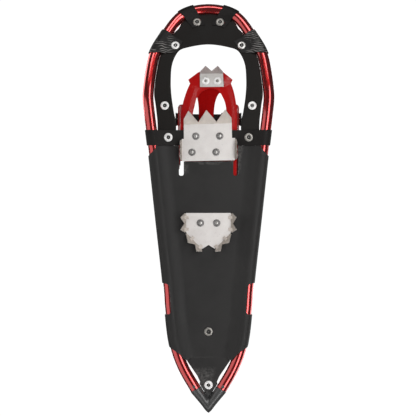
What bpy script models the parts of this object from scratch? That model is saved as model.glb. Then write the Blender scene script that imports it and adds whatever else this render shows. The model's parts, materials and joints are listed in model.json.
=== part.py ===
"""A left snowshoe with a teardrop tube frame, wrapped decking, folded steel claws and a pivoting binding.

It stands on its claws: +Z up, toe towards -Y, tail towards +Y. The origin is on the ground under the
middle of the frame. Every dimension is in millimetres until a mesh is made, in metres.
"""
import math

import bmesh
import bpy
import numpy as np

MM = 0.001
GAP = 0.3
# The design's own zero is at the middle of the frame's straight rails. This shift puts the origin under
# the middle of the whole length, with the claw tips on the ground.
ORIGIN_SHIFT = (0.0, 4.516, 0.245)

# Frame tube
TUBE_R = 11.1
TUBE_WALL = 1.2
FRAME_Z = 25.5
TUBE_SIDES = 12
RAIL = [
    (0.0, -400.1), (33.4, -395.2), (60.4, -380.3), (90.2, -337.6), (105.3, -310.1), (112.1, -284.3),
    (119.0, -223.7), (116.8, -194.2), (107.5, -119.9), (92.2, 20.0), (76.9, 159.0), (74.5, 194.4),
    (65.9, 263.8), (50.9, 309.1), (25.4, 354.5),
]
RISE_START_Y = -165.0
RISE_RADIUS = 250.0
RISE_ANGLE = math.radians(20.0)
RISE_STEP = 15.0
STRAIGHT_STEP = 45.0

# Layers, as heights above the frame's centre plane
TOE_DECK_W = (-1.3, 0.1)
MAIN_DECK_W = (-1.2, 1.2)
ARM_W = (0.6, 1.8)
STRAP_MID_W = (-2.25, 1.05)
STRAP_THICK = 1.3
CORD_MID_W = (-2.4, 2.9)
CORD_THICK = 1.6
CORD_FLAT = 20.5
WRAP_GAP = 0.4
STRAP_GAP = 0.7
DECK_WRAP_THICK = 1.4

# Toe opening and toe deck
OPENING = [
    (0.0, -326.8), (48.0, -319.0), (61.0, -311.0), (72.0, -286.0), (74.5, -251.0), (73.0, -223.0),
    (68.5, -192.0), (64.0, -167.0), (63.6, -124.0),
]
LEG_END_Y = -124.0

# Pivot strap and pivot
PIVOT_Y = -139.5
CORD_Y = (-154.1, -123.9)
CORD_SPLIT_X = 58.0

# Main deck
DECK_FRONT_Y = -123.4
WRAP_START_Y = -121.8
DECK_TONGUE_Y = {-1: -92.2, 1: -93.4}
SLOT_X = (48.8, 58.0)
SLOT_END_Y = -64.5
WRAP_END_Y = 284.0
TAIL_EDGE = [(42.4, 299.0), (21.8, 329.1), (16.6, 340.5), (17.7, 344.8), (14.6, 349.6), (9.0, 358.3),
             (5.0, 362.3)]
NOTCH_Y = (149.0, 206.0)
NOTCH_X = (77.1, 73.7)

# Rivets in the frame and the binding
HOLE_R = 2.7
SHANK_R = 2.3
PAD_HOLE_R = 7.6
FRONT_RIVET = (23.0, -372.5)
SIDE_RIVET = (66.0, -324.0)
LEG_RIVET = (86.0, -202.3)
CORD_RIVET = (79.0, -139.8)
HEEL_RIVET = (16.0, 28.5)
TAIL_WRAP_RIVET = (0.0, 242.0)
TAIL_TIP_RIVET = (0.0, 347.0)
BALL_RIVETS = [(-25.0, -142.0), (22.0, -142.3), (-32.4, -110.5), (14.7, -110.8)]
TOE_RIVETS = [(-5.3, -251.0), (17.5, -251.0)]
WING_RIVET_X = 46.4
WING_RIVET_Y = (-113.0, -98.0)

# Claws
SHEET = 1.6
BEND_R = 2.0
BALL_CLAW_Z = 22.8
TOE_CLAW_Z = 26.3
HEEL_CLAW_Z = 23.2

# Binding
BASE_Z = (27.4, 31.4)
PAD_Z = (31.7, 35.2)
WING_THICK = 3.0
WING_TOP = 78.5
WING_END_Y = {-1: -78.0, 1: -62.0}
EAR_CUT = ((38.0, -93.5, 30.0), (66.0, -70.0, 48.5))
WING_SECTION = [(42.6, 33.2), (52.0, 33.2), (54.8, 36.0), (56.0, 41.0), (58.5, 49.0), (60.4, 60.0),
                (61.0, 72.0), (61.2, 84.0)]
STRAP_WIDE = 25.0
STRAP_T = 2.2
STRAP_SIDE_X = 64.4
STRAP_ARCH = [(STRAP_SIDE_X, 55.0), (STRAP_SIDE_X, 68.0), (STRAP_SIDE_X, 82.0), (58.5, 95.0), (42.0, 104.0),
              (22.0, 109.0), (0.0, 110.5)]
TOE_STRAP_Y = -178.0
INSTEP_STRAP_Y = -124.0
STRAP_RIVET_Z = 66.0
HEEL_PIN = (-88.0, 55.0)
HEEL_WIDE = 20.0
HEEL_T = 2.5
HEEL_ROUTE = [(64.8, -101.0, 55.0), (64.8, -88.0, 55.0), (64.8, -60.0, 56.5), (63.5, -20.0, 60.0),
              (57.0, 20.0, 64.0), (44.0, 50.0, 67.0), (24.0, 68.0, 69.0), (0.0, 74.0, 70.0)]


def clear_scene():
    for item in list(bpy.data.objects):
        bpy.data.objects.remove(item, do_unlink=True)


def make_material(name, colour, roughness, metallic):
    """A plain Principled material."""
    material = bpy.data.materials.new(name)
    material.use_nodes = True
    shader = material.node_tree.nodes["Principled BSDF"]
    shader.inputs["Base Color"].default_value = (*colour, 1.0)
    shader.inputs["Roughness"].default_value = roughness
    shader.inputs["Metallic"].default_value = metallic
    return material


def paint(piece, look):
    piece.data.materials.append(make_material(piece.name + "_finish", *look))


ANODISED_RED = ((0.55, 0.03, 0.03), 0.25, 0.9)
BLACK_DECK = ((0.035, 0.033, 0.032), 0.6, 0.0)
BLACK_RUBBER = ((0.03, 0.03, 0.03), 0.65, 0.0)
BLACK_PLASTIC = ((0.02, 0.02, 0.02), 0.4, 0.0)
RED_PLASTIC = ((0.45, 0.01, 0.015), 0.35, 0.0)
STEEL = ((0.68, 0.66, 0.64), 0.35, 0.9)
RIVET_METAL = ((0.75, 0.74, 0.72), 0.3, 1.0)


def metres(point):
    """A design point as a place in the scene: millimetres to metres, over the origin."""
    return [(value + shift) * MM for value, shift in zip(point, ORIGIN_SHIFT)]


def mesh_piece(name, points, faces, look=None):
    """One mesh object from points in millimetres, its faces turned outwards."""
    mesh = bpy.data.meshes.new(name)
    mesh.from_pydata([metres(p) for p in points], [], faces)
    work = bmesh.new()
    work.from_mesh(mesh)
    bmesh.ops.recalc_face_normals(work, faces=work.faces)
    work.to_mesh(mesh)
    work.free()
    mesh.shade_smooth()
    mesh.set_sharp_from_angle(angle=math.radians(35.0))
    piece = bpy.data.objects.new(name, mesh)
    bpy.context.collection.objects.link(piece)
    if look:
        paint(piece, look)
    return piece


def loft(name, rings, look=None, closed_path=False):
    """A skin through rings of equal length, with both ends capped unless the path closes."""
    count = len(rings[0])
    points = [point for ring in rings for point in ring]
    faces = []
    spans = len(rings) if closed_path else len(rings) - 1
    for i in range(spans):
        a = i * count
        b = ((i + 1) % len(rings)) * count
        for j in range(count):
            k = (j + 1) % count
            faces.append((a + j, a + k, b + k, b + j))
    if not closed_path:
        faces.append(tuple(range(count)))
        faces.append(tuple(range((len(rings) - 1) * count, len(rings) * count)))
    return mesh_piece(name, points, faces, look)


def slab(name, outline, low, high, look=None):
    """A flat sheet with a plan outline, between two heights."""
    return loft(name, [[(x, y, low) for x, y in outline], [(x, y, high) for x, y in outline]], look)


def smooth_path(points, per_span=8):
    """A Catmull-Rom curve through 2-D or 3-D points."""
    knots = [np.array(p, float) for p in points]
    ends = [2 * knots[0] - knots[1], *knots, 2 * knots[-1] - knots[-2]]
    out = []
    for i in range(1, len(ends) - 2):
        before, a, b, after = ends[i - 1], ends[i], ends[i + 1], ends[i + 2]
        length = np.linalg.norm(b - a)
        slope_a = (b - before) / (np.linalg.norm(b - a) + np.linalg.norm(a - before)) * length
        slope_b = (after - a) / (np.linalg.norm(after - b) + np.linalg.norm(b - a)) * length
        for k in range(per_span):
            t = k / per_span
            out.append((2 * t**3 - 3 * t**2 + 1) * a + (t**3 - 2 * t**2 + t) * slope_a
                       + (3 * t**2 - 2 * t**3) * b + (t**3 - t**2) * slope_b)
    out.append(knots[-1])
    return out


def mirrored(half):
    """A whole outline from its half at +X, which starts on the centre line."""
    return [(-x, y) for x, y in half[:0:-1]] + list(half)


def thin_out(path, turn=math.radians(6.0)):
    """Keeps the points of a path where it has turned or run on far enough, closer on the toe rise."""
    kept = [path[0]]
    heading = path[1] - path[0]
    for i in range(1, len(path) - 1):
        ahead = path[i + 1] - path[i]
        bend = math.acos(min(1.0, float(ahead @ heading) / np.linalg.norm(ahead) / np.linalg.norm(heading)))
        step = RISE_STEP if path[i][1] < RISE_START_Y + RISE_STEP else STRAIGHT_STEP
        if bend > turn or np.linalg.norm(path[i] - kept[-1]) > step:
            kept.append(path[i])
            heading = ahead
    kept.append(path[-1])
    return kept


def rise(y):
    """The toe rise's height above the flat frame plane, and its slope angle, at a plan position."""
    run = max(0.0, RISE_START_Y - y)
    arc_run = RISE_RADIUS * math.sin(RISE_ANGLE)
    if run <= arc_run:
        return RISE_RADIUS - math.sqrt(RISE_RADIUS**2 - run**2), math.asin(run / RISE_RADIUS)
    return RISE_RADIUS * (1 - math.cos(RISE_ANGLE)) + (run - arc_run) * math.tan(RISE_ANGLE), RISE_ANGLE


def on_frame(x, y, w=0.0):
    """A point at height w above the frame's centre surface, which follows the toe rise."""
    height, angle = rise(y)
    return np.array((x, y + w * math.sin(angle), FRAME_Z + height + w * math.cos(angle)))


def surface_up(y):
    angle = rise(y)[1]
    return np.array((0.0, math.sin(angle), math.cos(angle)))


class Rail:
    """The tube's centre line, from the left tail end round the toe to the right tail end."""

    def __init__(self):
        whole = smooth_path(mirrored(RAIL))
        plan = mirrored(thin_out(whole[len(whole) // 2:]))
        self.points = [on_frame(x, y) for x, y in plan]
        steps = [np.linalg.norm(b - a) for a, b in zip(self.points, self.points[1:])]
        self.along = np.concatenate([[0.0], np.cumsum(steps)])
        self.frames = []
        for i, point in enumerate(self.points):
            ahead = self.points[min(i + 1, len(self.points) - 1)] - self.points[max(i - 1, 0)]
            up = surface_up(point[1])
            inward = np.cross(up, ahead / np.linalg.norm(ahead))
            self.frames.append((inward / np.linalg.norm(inward), up))

    def at(self, s):
        """Point, inward direction and up direction at a distance along the rail."""
        i = int(np.clip(np.searchsorted(self.along, s) - 1, 0, len(self.points) - 2))
        t = (s - self.along[i]) / (self.along[i + 1] - self.along[i])
        point = self.points[i] * (1 - t) + self.points[i + 1] * t
        inward = self.frames[i][0] * (1 - t) + self.frames[i + 1][0] * t
        up = self.frames[i][1] * (1 - t) + self.frames[i + 1][1] * t
        return point, inward / np.linalg.norm(inward), up / np.linalg.norm(up)

    def place(self, s, inward_by, up_by):
        point, inward, up = self.at(s)
        return point + inward * inward_by + up * up_by

    def at_y(self, y, side):
        """The distance along the rail where its right (+1) or left (-1) side passes a plan y."""
        middle = self.along[-1] / 2
        low, high = middle, self.along[-1]
        for _ in range(50):
            guess = (low + high) / 2
            if self.at(guess)[0][1] < y:
                low = guess
            else:
                high = guess
        return low if side > 0 else 2 * middle - low

    def nearest(self, point):
        """The distance along the rail of the place nearest to a point, and how far away it is."""
        best = (1e9, 0.0)
        for i, (a, b) in enumerate(zip(self.points, self.points[1:])):
            span = b - a
            t = float(np.clip((point - a) @ span / (span @ span), 0.0, 1.0))
            away = float(np.linalg.norm(a + span * t - point))
            best = min(best, (away, self.along[i] + t * np.linalg.norm(span)))
        return best[1], best[0]

    def stations(self, start, end):
        """The rail's own stations between two distances, with both ends."""
        inner = [s for s in self.along if start + 1.0 < s < end - 1.0]
        return [start, *inner, end]


def ring_around(rail, s, radius, sides=TUBE_SIDES):
    turns = [2 * math.pi * k / sides for k in range(sides)]
    return [rail.place(s, radius * math.cos(a), radius * math.sin(a)) for a in turns]


def sleeve(name, rail, start, end, inner, outer, look=None):
    """A hollow tube along the rail, open at both ends."""
    stops = rail.stations(start, end)
    rings = [ring_around(rail, s, outer) for s in stops]
    rings += [ring_around(rail, s, inner) for s in reversed(stops)]
    return loft(name, rings, look, closed_path=True)


def cylinder(name, foot, top, radius, sides=8, look=None):
    """A round bar between two points."""
    foot, top = np.array(foot, float), np.array(top, float)
    axis = (top - foot) / np.linalg.norm(top - foot)
    side = np.cross(axis, (1.0, 0.0, 0.0) if abs(axis[0]) < 0.9 else (0.0, 1.0, 0.0))
    side /= np.linalg.norm(side)
    other = np.cross(axis, side)
    circle = [radius * (side * math.cos(a) + other * math.sin(a))
              for a in (2 * math.pi * k / sides for k in range(sides))]
    rings = [[end + spoke for spoke in circle] for end in (foot, top)]
    return loft(name, rings, look)


def block(name, low, high, look=None):
    outline = [(low[0], low[1]), (high[0], low[1]), (high[0], high[1]), (low[0], high[1])]
    return slab(name, outline, low[2], high[2], look)


def merge(name, pieces):
    """Joins tools that don't touch into one object."""
    work = bmesh.new()
    for piece in pieces:
        work.from_mesh(piece.data)
        bpy.data.objects.remove(piece)
    mesh = bpy.data.meshes.new(name)
    work.to_mesh(mesh)
    work.free()
    joined = bpy.data.objects.new(name, mesh)
    bpy.context.collection.objects.link(joined)
    return joined


def combine(piece, tool, operation):
    """Adds a Boolean whose tool stays in the scene as a guide."""
    tool.hide_render = True
    tool.display_type = "WIRE"
    boolean = piece.modifiers.new(operation.lower(), "BOOLEAN")
    boolean.solver = "EXACT"
    boolean.operation = operation
    boolean.object = tool


def drill(piece, spots, radius=HOLE_R, reach=9.0):
    """Cuts rivet holes square to the frame surface at plan positions."""
    tools = [cylinder("bit", on_frame(*spot, -reach), on_frame(*spot, reach), radius) for spot in spots]
    combine(piece, merge("cut_holes_" + piece.name, tools), "DIFFERENCE")


def drill_upright(piece, spots, radius=HOLE_R):
    """Cuts upright holes through a piece of the binding at plan positions."""
    tools = [cylinder("bit", (x, y, 10.0), (x, y, 50.0), radius) for x, y in spots]
    combine(piece, merge("cut_holes_" + piece.name, tools), "DIFFERENCE")


def both(spot):
    return [(-spot[0], spot[1]), spot]


def turned(name, profile, centre, axis, sides=8, look=RIVET_METAL):
    """A solid of revolution: profile points are (radius, height), from the axis to the axis."""
    centre, axis = np.array(centre, float), np.array(axis, float)
    side = np.cross(axis, (1.0, 0.0, 0.0) if abs(axis[0]) < 0.9 else (0.0, 1.0, 0.0))
    side /= np.linalg.norm(side)
    other = np.cross(axis, side)
    points = [centre + axis * profile[0][1]]
    for radius, height in profile[1:-1]:
        for k in range(sides):
            a = 2 * math.pi * k / sides
            points.append(centre + axis * height + radius * (side * math.cos(a) + other * math.sin(a)))
    points.append(centre + axis * profile[-1][1])
    faces = []
    for k in range(sides):
        n = (k + 1) % sides
        faces.append((0, 1 + n, 1 + k))
        faces.append((len(points) - 1, len(points) - 1 - sides + k, len(points) - 1 - sides + n))
        for i in range(len(profile) - 3):
            a, b = 1 + i * sides, 1 + (i + 1) * sides
            faces.append((a + k, a + n, b + n, b + k))
    return mesh_piece(name, points, faces, look)


def rivet(name, spot, low, high, washer=8.5, cup=3.8):
    """A rivet through the layers between two heights above the frame surface, cupped from below."""
    low, high = low - GAP, high + GAP
    profile = [
        (0.0, low - 0.4), (cup - 0.4, low - 0.4), (cup + 0.3, low - 1.5), (washer - 1.2, low - 1.5),
        (washer, low - 0.7), (washer, low), (SHANK_R, low), (SHANK_R, high), (washer - 1.5, high),
        (washer - 2.2, high + 1.2), (0.0, high + 1.4),
    ]
    return turned(name, profile, on_frame(*spot), surface_up(spot[1]))


def thicken(path, thick):
    """A closed outline round a 2-D path, half the thickness to each side."""
    path = [np.array(p, float) for p in path]
    left, right = [], []
    for i, point in enumerate(path):
        before = path[i] - path[i - 1] if i else path[1] - path[0]
        after = path[i + 1] - path[i] if i < len(path) - 1 else path[-1] - path[-2]
        before, after = before / np.linalg.norm(before), after / np.linalg.norm(after)
        normal = np.array((-(before + after)[1], (before + after)[0]))
        normal /= np.linalg.norm(normal)
        stretch = 1.0 / max(0.5, float(normal @ np.array((-after[1], after[0]))))
        left.append(point + normal * thick / 2 * stretch)
        right.append(point - normal * thick / 2 * stretch)
    return left + right[::-1]


def wrap_path(reach, flat_from, low, high, radius, steps=9):
    """The path of a strap round the tube: in on the lower side, round the outside, back on the upper side.

    Points are (inward, up) from the tube's centre."""
    def touch(height, sign):
        away = math.hypot(flat_from, height)
        return sign * (math.acos(radius / away)) + math.atan2(height, flat_from)
    first, last = touch(low, -1.0), touch(high, 1.0)
    path = [(reach, low), (flat_from, low)]
    for k in range(steps + 1):
        a = first + (last - 2 * math.pi - first) * k / steps
        path.append((radius * math.cos(a), radius * math.sin(a)))
    return path + [(flat_from, high), (reach, high)]


def tube_strap(name, rail, spot, reach_past, wide_out, wide_in, slant):
    """A lacing strap: both its ends lie on the toe deck and its loop holds the tube, further back."""
    centre, away = rail.nearest(on_frame(*spot))
    slant = math.copysign(slant, spot[0])
    reach = away + reach_past
    radius = TUBE_R + STRAP_GAP + STRAP_THICK / 2
    path = wrap_path(reach, away - 9.5, *STRAP_MID_W, radius, 11)
    outline = thicken(path, STRAP_THICK)
    rings = []
    for across in np.linspace(-0.5, 0.5, 7):
        ring = []
        for inward, up in outline:
            t = min(1.0, max(0.0, inward / reach))
            shift = slant * (1.0 - t) + across * (wide_out + (wide_in - wide_out) * t)
            ring.append(rail.place(centre + shift, inward, up))
        rings.append(ring)
    strap = loft(name, rings, BLACK_RUBBER)
    drill(strap, [spot])
    return strap


def frame_tube(rail):
    tube = sleeve("frame_tube", rail, 0.0, rail.along[-1], TUBE_R - TUBE_WALL, TUBE_R, ANODISED_RED)
    tools = []
    for side in (-1, 1):
        point, _, up = rail.at(pin_place(rail, side))
        tools.append(cylinder("bit", point - up * 14, point + up * 14, 2.3))
    combine(tube, merge("cut_tube_pins", tools), "DIFFERENCE")


def pin_place(rail, side):
    return rail.along[-1] - 6.0 if side > 0 else 6.0


def tail_pins(rail):
    for side, label in ((-1, "left"), (1, "right")):
        point, _, up = rail.at(pin_place(rail, side))
        out = TUBE_R + GAP
        profile = [(0.0, -out - 1.2), (2.0, -out - 1.2), (3.2, -out - 0.5), (3.2, -out), (1.9, -out),
                   (1.9, out), (3.2, out), (3.2, out + 0.5), (2.0, out + 1.2), (0.0, out + 1.2)]
        turned(f"tail_pin_{label}", profile, point, up)


CAP_OUTER = [(24.0, 374.2), (13.0, 387.4), (6.0, 396.6), (0.0, 402.0)]
CAP_INNER = [(9.6, 358.6), (5.5, 365.0), (2.5, 369.5), (0.0, 371.0)]
CAP_R = 11.5
SPIGOT_R = 9.4
SPIGOT_DEEP = 20.0


def tail_cap(rail):
    """The cap is one loft from the left spigot round the tail tip to the right spigot, with a deck tab."""
    turns = [2 * math.pi * k / TUBE_SIDES for k in range(TUBE_SIDES)]
    half = []
    steps = [(SPIGOT_DEEP, SPIGOT_R - 0.8), (SPIGOT_DEEP - 2, SPIGOT_R), (-0.4, SPIGOT_R), (-0.4, CAP_R)]
    for deep, radius in steps:
        point, inward, up = rail.at(rail.along[-1] - max(0.0, deep))
        ahead = np.cross(inward, up)
        point = point - ahead * min(0.0, deep)
        half.append([point + inward * radius * math.cos(a) + up * radius * math.sin(a) for a in turns])
    for outer, inner in zip(CAP_OUTER, CAP_INNER):
        middle = (np.array(outer) + np.array(inner)) / 2
        reach = (np.array(inner) - np.array(outer)) / 2
        half.append([np.array((*(middle + reach * math.cos(a)), FRAME_Z + CAP_R * math.sin(a)))
                     for a in turns])
    other_half = [[p * (-1, 1, 1) for p in ring] for ring in half[:-1]]
    cap = loft("tail_cap", half + other_half[::-1], BLACK_PLASTIC)
    low = FRAME_Z + MAIN_DECK_W[1] + GAP
    combine(cap, block("add_cap_tab", (-8.5, 336.0, low), (8.5, 380.0, low + 2.0)), "UNION")
    tools = [cylinder("bit", on_frame(*TAIL_TIP_RIVET, -8), on_frame(*TAIL_TIP_RIVET, 8), HOLE_R)]
    for side in (-1, 1):
        point, _, up = rail.at(pin_place(rail, side))
        tools.append(cylinder("bit", point - up * 11, point + up * 11, 2.3))
    combine(cap, merge("cut_cap_holes", tools), "DIFFERENCE")


def edge_relief(y):
    """How far the toe deck's edge draws back from the tube: at the lacing slits and along the sides."""
    slits = 3.0 * math.exp(-((y + 367.0) / 6.5) ** 2)
    sides = 2.6 * math.exp(-((y + 188.0) / 32.0) ** 4)
    return slits + sides


def toe_deck(rail):
    """A horseshoe sheet between the tube and the toe opening."""
    start, end = rail.at_y(LEG_END_Y, -1), rail.at_y(LEG_END_Y, 1)
    stops = rail.stations(start, end)
    inner = smooth_path(mirrored(OPENING), 6)
    lengths = np.concatenate([[0.0], np.cumsum([np.linalg.norm(b - a) for a, b in zip(inner, inner[1:])])])
    rings = []
    for s in stops:
        share = (s - start) / (end - start) * lengths[-1]
        edge = np.array([np.interp(share, lengths, [p[i] for p in inner]) for i in (0, 1)])
        point, inward, _ = rail.at(s)
        outer = (point + inward * (TUBE_R + WRAP_GAP + edge_relief(point[1])))[:2]
        ring = [on_frame(*(outer * (1 - t) + edge * t), TOE_DECK_W[0]) for t in (0.0, 0.5, 1.0)]
        ring += [on_frame(*(outer * (1 - t) + edge * t), TOE_DECK_W[1]) for t in (1.0, 0.5, 0.0)]
        rings.append(ring)
    deck = loft("toe_deck", rings, BLACK_DECK)
    drill(deck, both(FRONT_RIVET) + both(SIDE_RIVET) + both(LEG_RIVET) + both(CORD_RIVET))


def rail_edge(rail, y, inward_by):
    """The plan x of the right rail's inner side, drawn inwards."""
    return float(rail.place(rail.at_y(y, 1), inward_by, 0.0)[0])


def deck_arm(rail, side):
    """A strip of the main deck that runs forward over the toe deck's leg."""
    opening = smooth_path(OPENING, 6)
    depths = [p[1] for p in opening]
    widths = [p[0] for p in opening]
    rings = []
    for y in (*np.arange(-212.0, RISE_START_Y + 1.0, 11.0), -140.0, -112.0):
        inside = float(np.interp(y, depths, widths)) + 4.0
        outside = rail_edge(rail, y, TUBE_R + WRAP_GAP + 4.5)
        spots = [(inside, ARM_W[0]), (outside, ARM_W[0]), (outside, ARM_W[1]), (inside, ARM_W[1])]
        rings.append([on_frame(side * x, y, w) for x, w in spots])
    return loft(f"add_arm_{'left' if side < 0 else 'right'}", rings)


def main_deck(rail):
    """A web with wraps round both rails, two forward arms and a tail tongue."""
    wrap_mid = TUBE_R + WRAP_GAP + DECK_WRAP_THICK / 2
    edge = [(rail_edge(rail, y, wrap_mid), y)
            for y in (DECK_FRONT_Y, 0.0, 100.0, 200.0, 240.0, 262.0, WRAP_END_Y)]
    half = [(SLOT_X[0], SLOT_END_Y - 3), (SLOT_X[0] + 3, SLOT_END_Y), (SLOT_X[1] - 3, SLOT_END_Y),
            (SLOT_X[1], SLOT_END_Y - 3), (SLOT_X[1], DECK_FRONT_Y), *edge, *TAIL_EDGE]
    left = [(-x, y) for x, y in half[::-1]]
    tongue = [(side * SLOT_X[0], DECK_TONGUE_Y[side]) for side in (-1, 1)]
    low, high = (FRAME_Z + w for w in MAIN_DECK_W)
    deck = slab("main_deck", left + tongue + half, low, high, BLACK_DECK)
    inner = TUBE_R + WRAP_GAP
    for side, label in ((-1, "left"), (1, "right")):
        ends = sorted((rail.at_y(WRAP_START_Y, side), rail.at_y(WRAP_END_Y, side)))
        combine(deck, sleeve(f"add_wrap_{label}", rail, *ends, inner, inner + DECK_WRAP_THICK), "UNION")
        combine(deck, deck_arm(rail, side), "UNION")
    tools = []
    for side in (-1, 1):
        notch = [(NOTCH_X[0], NOTCH_Y[0]), (130.0, NOTCH_Y[0] - 9.0),
                 (130.0, NOTCH_Y[1] + 9.0), (NOTCH_X[1], NOTCH_Y[1])]
        front = [(103.0, -135.0), (150.0, -135.0), (150.0, -83.0),
                 (118.0, -103.0), (105.0, -116.5), (103.0, -118.5)]
        rear = [(56.0, 288.5), (90.0, 265.0), (90.0, 310.0), (56.0, 310.0)]
        for i, corner in enumerate((notch, front, rear)):
            tools.append(slab(f"cut_{i}", [(side * x, y) for x, y in corner], 0.0, 60.0))
    combine(deck, merge("cut_deck_edges", tools), "DIFFERENCE")
    spots = both(LEG_RIVET) + both(CORD_RIVET) + both(HEEL_RIVET) + [TAIL_WRAP_RIVET, TAIL_TIP_RIVET]
    drill(deck, spots)


def toe_cord(rail):
    """The pivot strap: each end loops round a rail, and its middle carries the binding."""
    radius = TUBE_R + STRAP_GAP + CORD_THICK / 2
    for side, label in ((-1, "left"), (1, "right")):
        rings = []
        for y in np.linspace(*CORD_Y, 3):
            rail_x = rail_edge(rail, y, 0.0)
            path = wrap_path(rail_x - CORD_SPLIT_X - 4.5, CORD_FLAT, *CORD_MID_W, radius, 12)
            tip = rail_x - CORD_SPLIT_X
            path = [(tip, -0.95), *path, (tip, 0.95)]
            rings.append([(side * (rail_x - u), y, FRAME_Z + w) for u, w in thicken(path, CORD_THICK)])
        half = loft(f"toe_cord_{label}", rings, BLACK_RUBBER)
        drill(half, [(side * CORD_RIVET[0], CORD_RIVET[1])])
    reach = CORD_SPLIT_X - GAP
    centre = block("toe_cord_centre", (-reach, CORD_Y[0], BALL_CLAW_Z + SHEET / 2 + GAP),
                   (reach, CORD_Y[1], BASE_Z[0] - GAP), BLACK_RUBBER)
    drill(centre, BALL_RIVETS[:2])
    return centre


def folded_sheet(name, height, plate, flanges, holes):
    """A flat plate with flanges bent down from some of its edges.

    A flange is (first corner, second corner, angle, outline); its outline is (along, out) on the flat
    flange, from the second corner back to the first."""
    points = [(x, y, height) for x, y in plate]
    faces = [tuple(range(len(plate)))]
    loop = plate[1:] + plate[:1]
    way_round = math.copysign(1.0, sum(a[0] * b[1] - b[0] * a[1] for a, b in zip(plate, loop)))
    steps = 3
    for first, second, angle, outline in flanges:
        a, b = np.array(plate[first]), np.array(plate[second])
        along = (b - a) / np.linalg.norm(b - a)
        out = np.array((along[1], -along[0])) * way_round
        row = (first, second)
        for k in range(1, steps + 1):
            turn = angle * k / steps
            shift = out * BEND_R * math.sin(turn)
            drop = BEND_R * (1 - math.cos(turn))
            here = len(points)
            points += [(*(a + shift), height - drop), (*(b + shift), height - drop)]
            faces.append((row[0], here, here + 1, row[1]))
            row = (here, here + 1)
        corners = [row[0], row[1]]
        for t, d in outline:
            spot = a + along * t + out * (BEND_R * math.sin(angle) + d * math.cos(angle))
            corners.append(len(points))
            points.append((*spot, height - BEND_R * (1 - math.cos(angle)) - d * math.sin(angle)))
        faces.append(tuple(corners))
    claw = mesh_piece(name, points, faces, STEEL)
    shell = claw.modifiers.new("sheet", "SOLIDIFY")
    shell.thickness = SHEET * MM
    shell.offset = 0.0
    shell.use_even_offset = True
    drill_upright(claw, holes)
    return claw


def tooth_depth(height, angle, tip_z=0.35):
    """How far a flat tooth runs from its bend to reach a tip height."""
    return (height - tip_z - BEND_R * (1 - math.cos(angle))) / math.sin(angle)


def heel_claw():
    """A plate with two toothed side flanges and two toothed rear flanges either side of a V notch."""
    angle = math.radians(69.0)
    deep = tooth_depth(HEEL_CLAW_Z, angle)
    half = [(44.0, 10.0), (44.0, 46.4), (43.0, 48.6), (12.6, 79.4)]
    plate = [(0.0, 71.6)] + [(-x, y) for x, y in reversed(half)] + [(-43.4, 8.8), (43.4, 8.8)] + half
    side = [(37.0, 2.0), (31.3, deep), (19.5, 4.0), (7.5, deep), (-0.8, 2.0)]
    rear = [(47.0, 5.0), (38.5, deep), (27.0, 4.0), (15.0, deep), (1.5, 2.0)]
    side_length, rear_length = 36.4, math.dist(half[2], half[3])

    def flipped(outline, length):
        return [(length - t, d) for t, d in reversed(outline)]
    flanges = [
        (7, 8, angle, side), (9, 10, angle, rear),
        (3, 4, angle, flipped(side, side_length)), (1, 2, angle, flipped(rear, rear_length)),
    ]
    folded_sheet("heel_claw", HEEL_CLAW_Z, plate, flanges, both(HEEL_RIVET))


def ball_claw():
    """A plate with three front teeth and a toothed flange down each side."""
    angle = math.radians(42.0)
    deep = tooth_depth(BALL_CLAW_Z, angle)
    plate = [(-48.6, -164.6), (-48.6, -136.6), (-52.4, -136.6), (-52.4, -134.6), (-52.4, -95.0),
             (-51.4, -92.8), (51.4, -94.8), (52.4, -96.6), (52.4, -136.6), (52.4, -138.6),
             (46.2, -138.6), (45.6, -167.6)]
    width = math.dist(plate[0], plate[-1])
    front = [(width - 0.3, 11.5), (84.0, deep), (65.6, 3.0), (48.9, deep), (29.9, 3.0), (12.2, deep),
             (0.3, 11.5)]
    steep = math.radians(86.0)
    fall = tooth_depth(BALL_CLAW_Z, steep)

    def saw(length):
        pitch = length / 3
        outline = [(length, 2.5)]
        for k in (2, 1, 0):
            outline += [((k + 0.5) * pitch, fall), (k * pitch, 6.0 if k else 2.5)]
        return outline
    flanges = [(11, 0, angle, front), (3, 4, steep, saw(38.6)), (7, 8, steep, saw(38.6))]
    folded_sheet("ball_claw", BALL_CLAW_Z, plate, flanges, BALL_RIVETS)


def toe_claw():
    """A small plate with two teeth."""
    angle = math.radians(64.0)
    deep = tooth_depth(TOE_CLAW_Z, angle, 2.5)
    plate = [(-16.9, -265.2), (-16.6, -238.9), (29.9, -239.4), (28.4, -265.2)]
    front = [(45.3, 3.5), (34.1, deep), (22.4, 5.5), (10.5, deep), (0.0, 3.5)]
    folded_sheet("toe_claw", TOE_CLAW_Z, plate, [(3, 0, angle, front)], TOE_RIVETS)


BASE_LEFT = [(-19.3, -268.6), (-39.9, -253.4), (-36.4, -245.8), (-42.5, -232.0), (-48.0, -216.0),
             (-51.2, -203.0), (-54.0, -185.0), (-55.0, -160.0), (-54.0, -120.0), (-53.4, -97.0),
             (-46.5, -92.0)]
BASE_RIGHT = [(47.5, -66.0), (55.0, -62.0), (55.0, -120.0), (55.4, -160.0), (55.6, -185.0), (54.7, -203.0),
              (52.0, -220.0), (48.6, -234.0), (44.2, -245.8), (47.4, -253.4), (29.9, -267.6)]
LEFT_WINDOW = [(-22.8, -218.4), (-27.0, -203.0), (-30.9, -186.0), (-31.2, -172.0), (-19.6, -172.0),
               (-19.3, -186.0), (-19.8, -203.0)]
RIGHT_WINDOW = [(22.2, -227.3), (16.5, -219.0), (12.4, -205.0), (10.9, -190.0), (10.9, -172.0),
                (31.0, -172.0), (34.4, -184.0), (34.6, -197.0), (31.8, -210.0), (27.4, -220.0)]


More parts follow.
